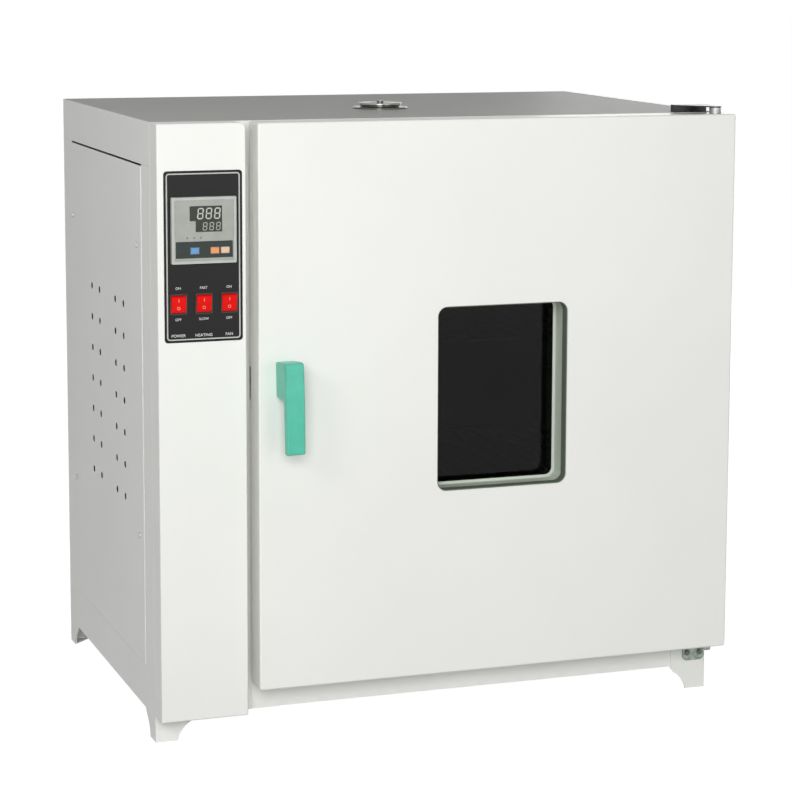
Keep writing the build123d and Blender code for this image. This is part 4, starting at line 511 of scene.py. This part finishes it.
def rocker_marks():
    """The I and O moulded into each rocker, on its two sloping halves."""
    for switch in LABELS:
        rocker = NODES[f"{switch}_rocker"]
        low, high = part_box(f"{switch}_rocker")
        x, z = (low.x + high.x) / 2, (low.z + high.z) / 2

        def halves(shape, rocker=rocker, x=x, z=z):
            for way, loops in ((1, "bar"), (-1, "ring")):
                centre = Vector((x, 0, z + way * MARK_OFFSET * MM))
                hit, place, normal, _ = rocker.ray_cast(centre + Vector((0, -5, 0)), Vector((0, 1, 0)))
                if not hit:
                    continue
                side = Vector((1, 0, 0))
                up = normal.cross(side)
                up = up if up.z > 0 else -up
                turn = Matrix((side, -normal, up)).transposed().to_4x4()
                turn.translation = place
                before = set(shape.verts)
                if loops == "bar":
                    bar = rounded_outline(0, 0, BAR_WIDTH * MM, BAR_HEIGHT * MM, BAR_CORNER * MM, 4)
                    raised(shape, bar, MARK_SEAT * MM, MARK_HEIGHT * MM)
                else:
                    outer = circle_outline(0, 0, RING_OUTER * MM, 32)
                    inner = circle_outline(0, 0, RING_INNER * MM, 32)
                    raised(shape, outer, MARK_SEAT * MM, MARK_HEIGHT * MM, [inner])
                fresh = [vertex for vertex in shape.verts if vertex not in before]
                bmesh.ops.transform(shape, matrix=turn, verts=fresh)
        add_piece(f"{switch}_rocker_marks", halves, ROCKER_INK, f"{switch}_rocker")


def label(name, words, x, z, height):
    """Printed words on the control plate, centred at (x, z)."""
    low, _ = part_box("control_plate")
    curve = bpy.data.curves.new(name, "FONT")
    curve.body = words
    curve.size = height / CAPITAL_SHARE
    curve.extrude = INK / 2 * MM
    curve.align_x = "CENTER"
    curve.align_y = "CENTER"
    curve.materials.append(WHITE_INK)
    piece = bpy.data.objects.new(name, curve)
    piece.location = (x, low.y - INK / 2 * MM, z)
    piece.rotation_euler = (pi / 2, 0, 0)
    scene.collection.objects.link(piece)
    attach(piece, "cabinet")


def switch_labels():
    """Plain words over and under each switch."""
    for switch, (high_word, low_word, name) in LABELS.items():
        centre = middle(f"{switch}_switch_housing")
        label(f"{switch}_high_word", high_word, centre.x, centre.z + LABEL_RISE * MM, WORD_HEIGHT * MM)
        label(f"{switch}_low_word", low_word, centre.x, centre.z - LABEL_DROP * MM, WORD_HEIGHT * MM)
        label(f"{switch}_name", name, centre.x, centre.z - NAME_DROP * MM, NAME_HEIGHT * MM)


plate_border()
controller_details()
rocker_marks()
switch_labels()


def stage_floor():
    """A wide pale floor that shows white to the camera and keeps a soft shadow."""
    mesh = bpy.data.meshes.new("floor")
    size = FLOOR_SIZE
    corners = [(-size, -size, 0), (size, -size, 0), (size, size, 0), (-size, size, 0)]
    mesh.from_pydata(corners, [], [(0, 1, 2, 3)])
    floor = bpy.data.objects.new("floor", mesh)
    scene.collection.objects.link(floor)
    material = bpy.data.materials.new("floor")
    material.use_nodes = True
    tree = material.node_tree
    tree.nodes.clear()
    paths = tree.nodes.new("ShaderNodeLightPath")
    plain = tree.nodes.new("ShaderNodeBsdfDiffuse")
    plain.inputs["Color"].default_value = (FLOOR_GREY,) * 3 + (1,)
    soft = tree.nodes.new("ShaderNodeBsdfDiffuse")
    soft.inputs["Color"].default_value = (FLOOR_SHADOW_GREY,) * 3 + (1,)
    glow = tree.nodes.new("ShaderNodeEmission")
    glow.inputs["Strength"].default_value = FLOOR_GLOW
    both = tree.nodes.new("ShaderNodeAddShader")
    seen = tree.nodes.new("ShaderNodeMixShader")
    out = tree.nodes.new("ShaderNodeOutputMaterial")
    sides = seen_by(tree, paths)
    tree.links.new(glow.outputs["Emission"], both.inputs[0])
    tree.links.new(soft.outputs["BSDF"], both.inputs[1])
    tree.links.new(sides, seen.inputs["Fac"])
    tree.links.new(plain.outputs["BSDF"], seen.inputs[1])
    tree.links.new(both.outputs["Shader"], seen.inputs[2])
    tree.links.new(seen.outputs["Shader"], out.inputs["Surface"])
    mesh.materials.append(material)


def seen_by(tree, paths):
    """1 for a ray from the camera, a reflection or a view through glass."""
    first = tree.nodes.new("ShaderNodeMath")
    first.operation = "MAXIMUM"
    second = tree.nodes.new("ShaderNodeMath")
    second.operation = "MAXIMUM"
    tree.links.new(paths.outputs["Is Camera Ray"], first.inputs[0])
    tree.links.new(paths.outputs["Is Glossy Ray"], first.inputs[1])
    tree.links.new(first.outputs["Value"], second.inputs[0])
    tree.links.new(paths.outputs["Is Transmission Ray"], second.inputs[1])
    return second.outputs["Value"]


def stage_world(light):
    """White where it is seen, and a plain soft light elsewhere."""
    world = bpy.data.worlds.new("studio")
    scene.world = world
    world.use_nodes = True
    tree = world.node_tree
    tree.nodes.clear()
    paths = tree.nodes.new("ShaderNodeLightPath")
    around = tree.nodes.new("ShaderNodeBackground")
    around.inputs["Color"].default_value = (1, 1, 1, 1)
    around.inputs["Strength"].default_value = light
    white = tree.nodes.new("ShaderNodeBackground")
    white.inputs["Color"].default_value = (1, 1, 1, 1)
    white.inputs["Strength"].default_value = 1
    mix = tree.nodes.new("ShaderNodeMixShader")
    out = tree.nodes.new("ShaderNodeOutputWorld")
    tree.links.new(seen_by(tree, paths), mix.inputs["Fac"])
    tree.links.new(around.outputs["Background"], mix.inputs[1])
    tree.links.new(white.outputs["Background"], mix.inputs[2])
    tree.links.new(mix.outputs["Shader"], out.inputs["Surface"])


def lamp(name, place, aim, size, power):
    """A soft square lamp aimed at a point."""
    data = bpy.data.lights.new(name, "AREA")
    data.size = size
    data.energy = power
    item = bpy.data.objects.new(name, data)
    item.location = place
    item.rotation_euler = (Vector(aim) - Vector(place)).to_track_quat("-Z", "Y").to_euler()
    item.visible_camera = False
    scene.collection.objects.link(item)


def stage_lights():
    """A broad key from the front left, with weaker lamps at the front, the left side and behind."""
    for name, settings in LAMPS.items():
        lamp(name, *settings)


def stage_camera():
    """The camera of the photograph."""
    yaw, pitch, roll = radians(CAMERA_YAW), radians(CAMERA_PITCH), radians(CAMERA_ROLL)
    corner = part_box("front_frame")[0]
    target = Vector((corner.x + CAMERA_AIM[0], corner.y, CAMERA_AIM[1]))
    back = Vector((-sin(yaw) * cos(pitch), -cos(yaw) * cos(pitch), sin(pitch)))
    right = (-back).cross(Vector((0, 0, 1))).normalized()
    up = right.cross(-back)
    right, up = cos(roll) * right + sin(roll) * up, cos(roll) * up - sin(roll) * right
    data = bpy.data.cameras.new("camera")
    data.sensor_width = SENSOR_MM
    data.lens = FOCAL_PIXELS / FRAME_SIZE * SENSOR_MM
    data.shift_x = (FRAME_SIZE / 2 - CENTRE_X) / FRAME_SIZE
    data.shift_y = (CENTRE_Y - FRAME_SIZE / 2) / FRAME_SIZE
    data.clip_end = 200
    camera = bpy.data.objects.new("camera", data)
    turn = Matrix((right, up, back)).transposed().to_4x4()
    turn.translation = target + back * CAMERA_DISTANCE
    camera.matrix_world = turn
    scene.collection.objects.link(camera)
    scene.camera = camera


stage_floor()
stage_world(WORLD_LIGHT)
stage_lights()
stage_camera()
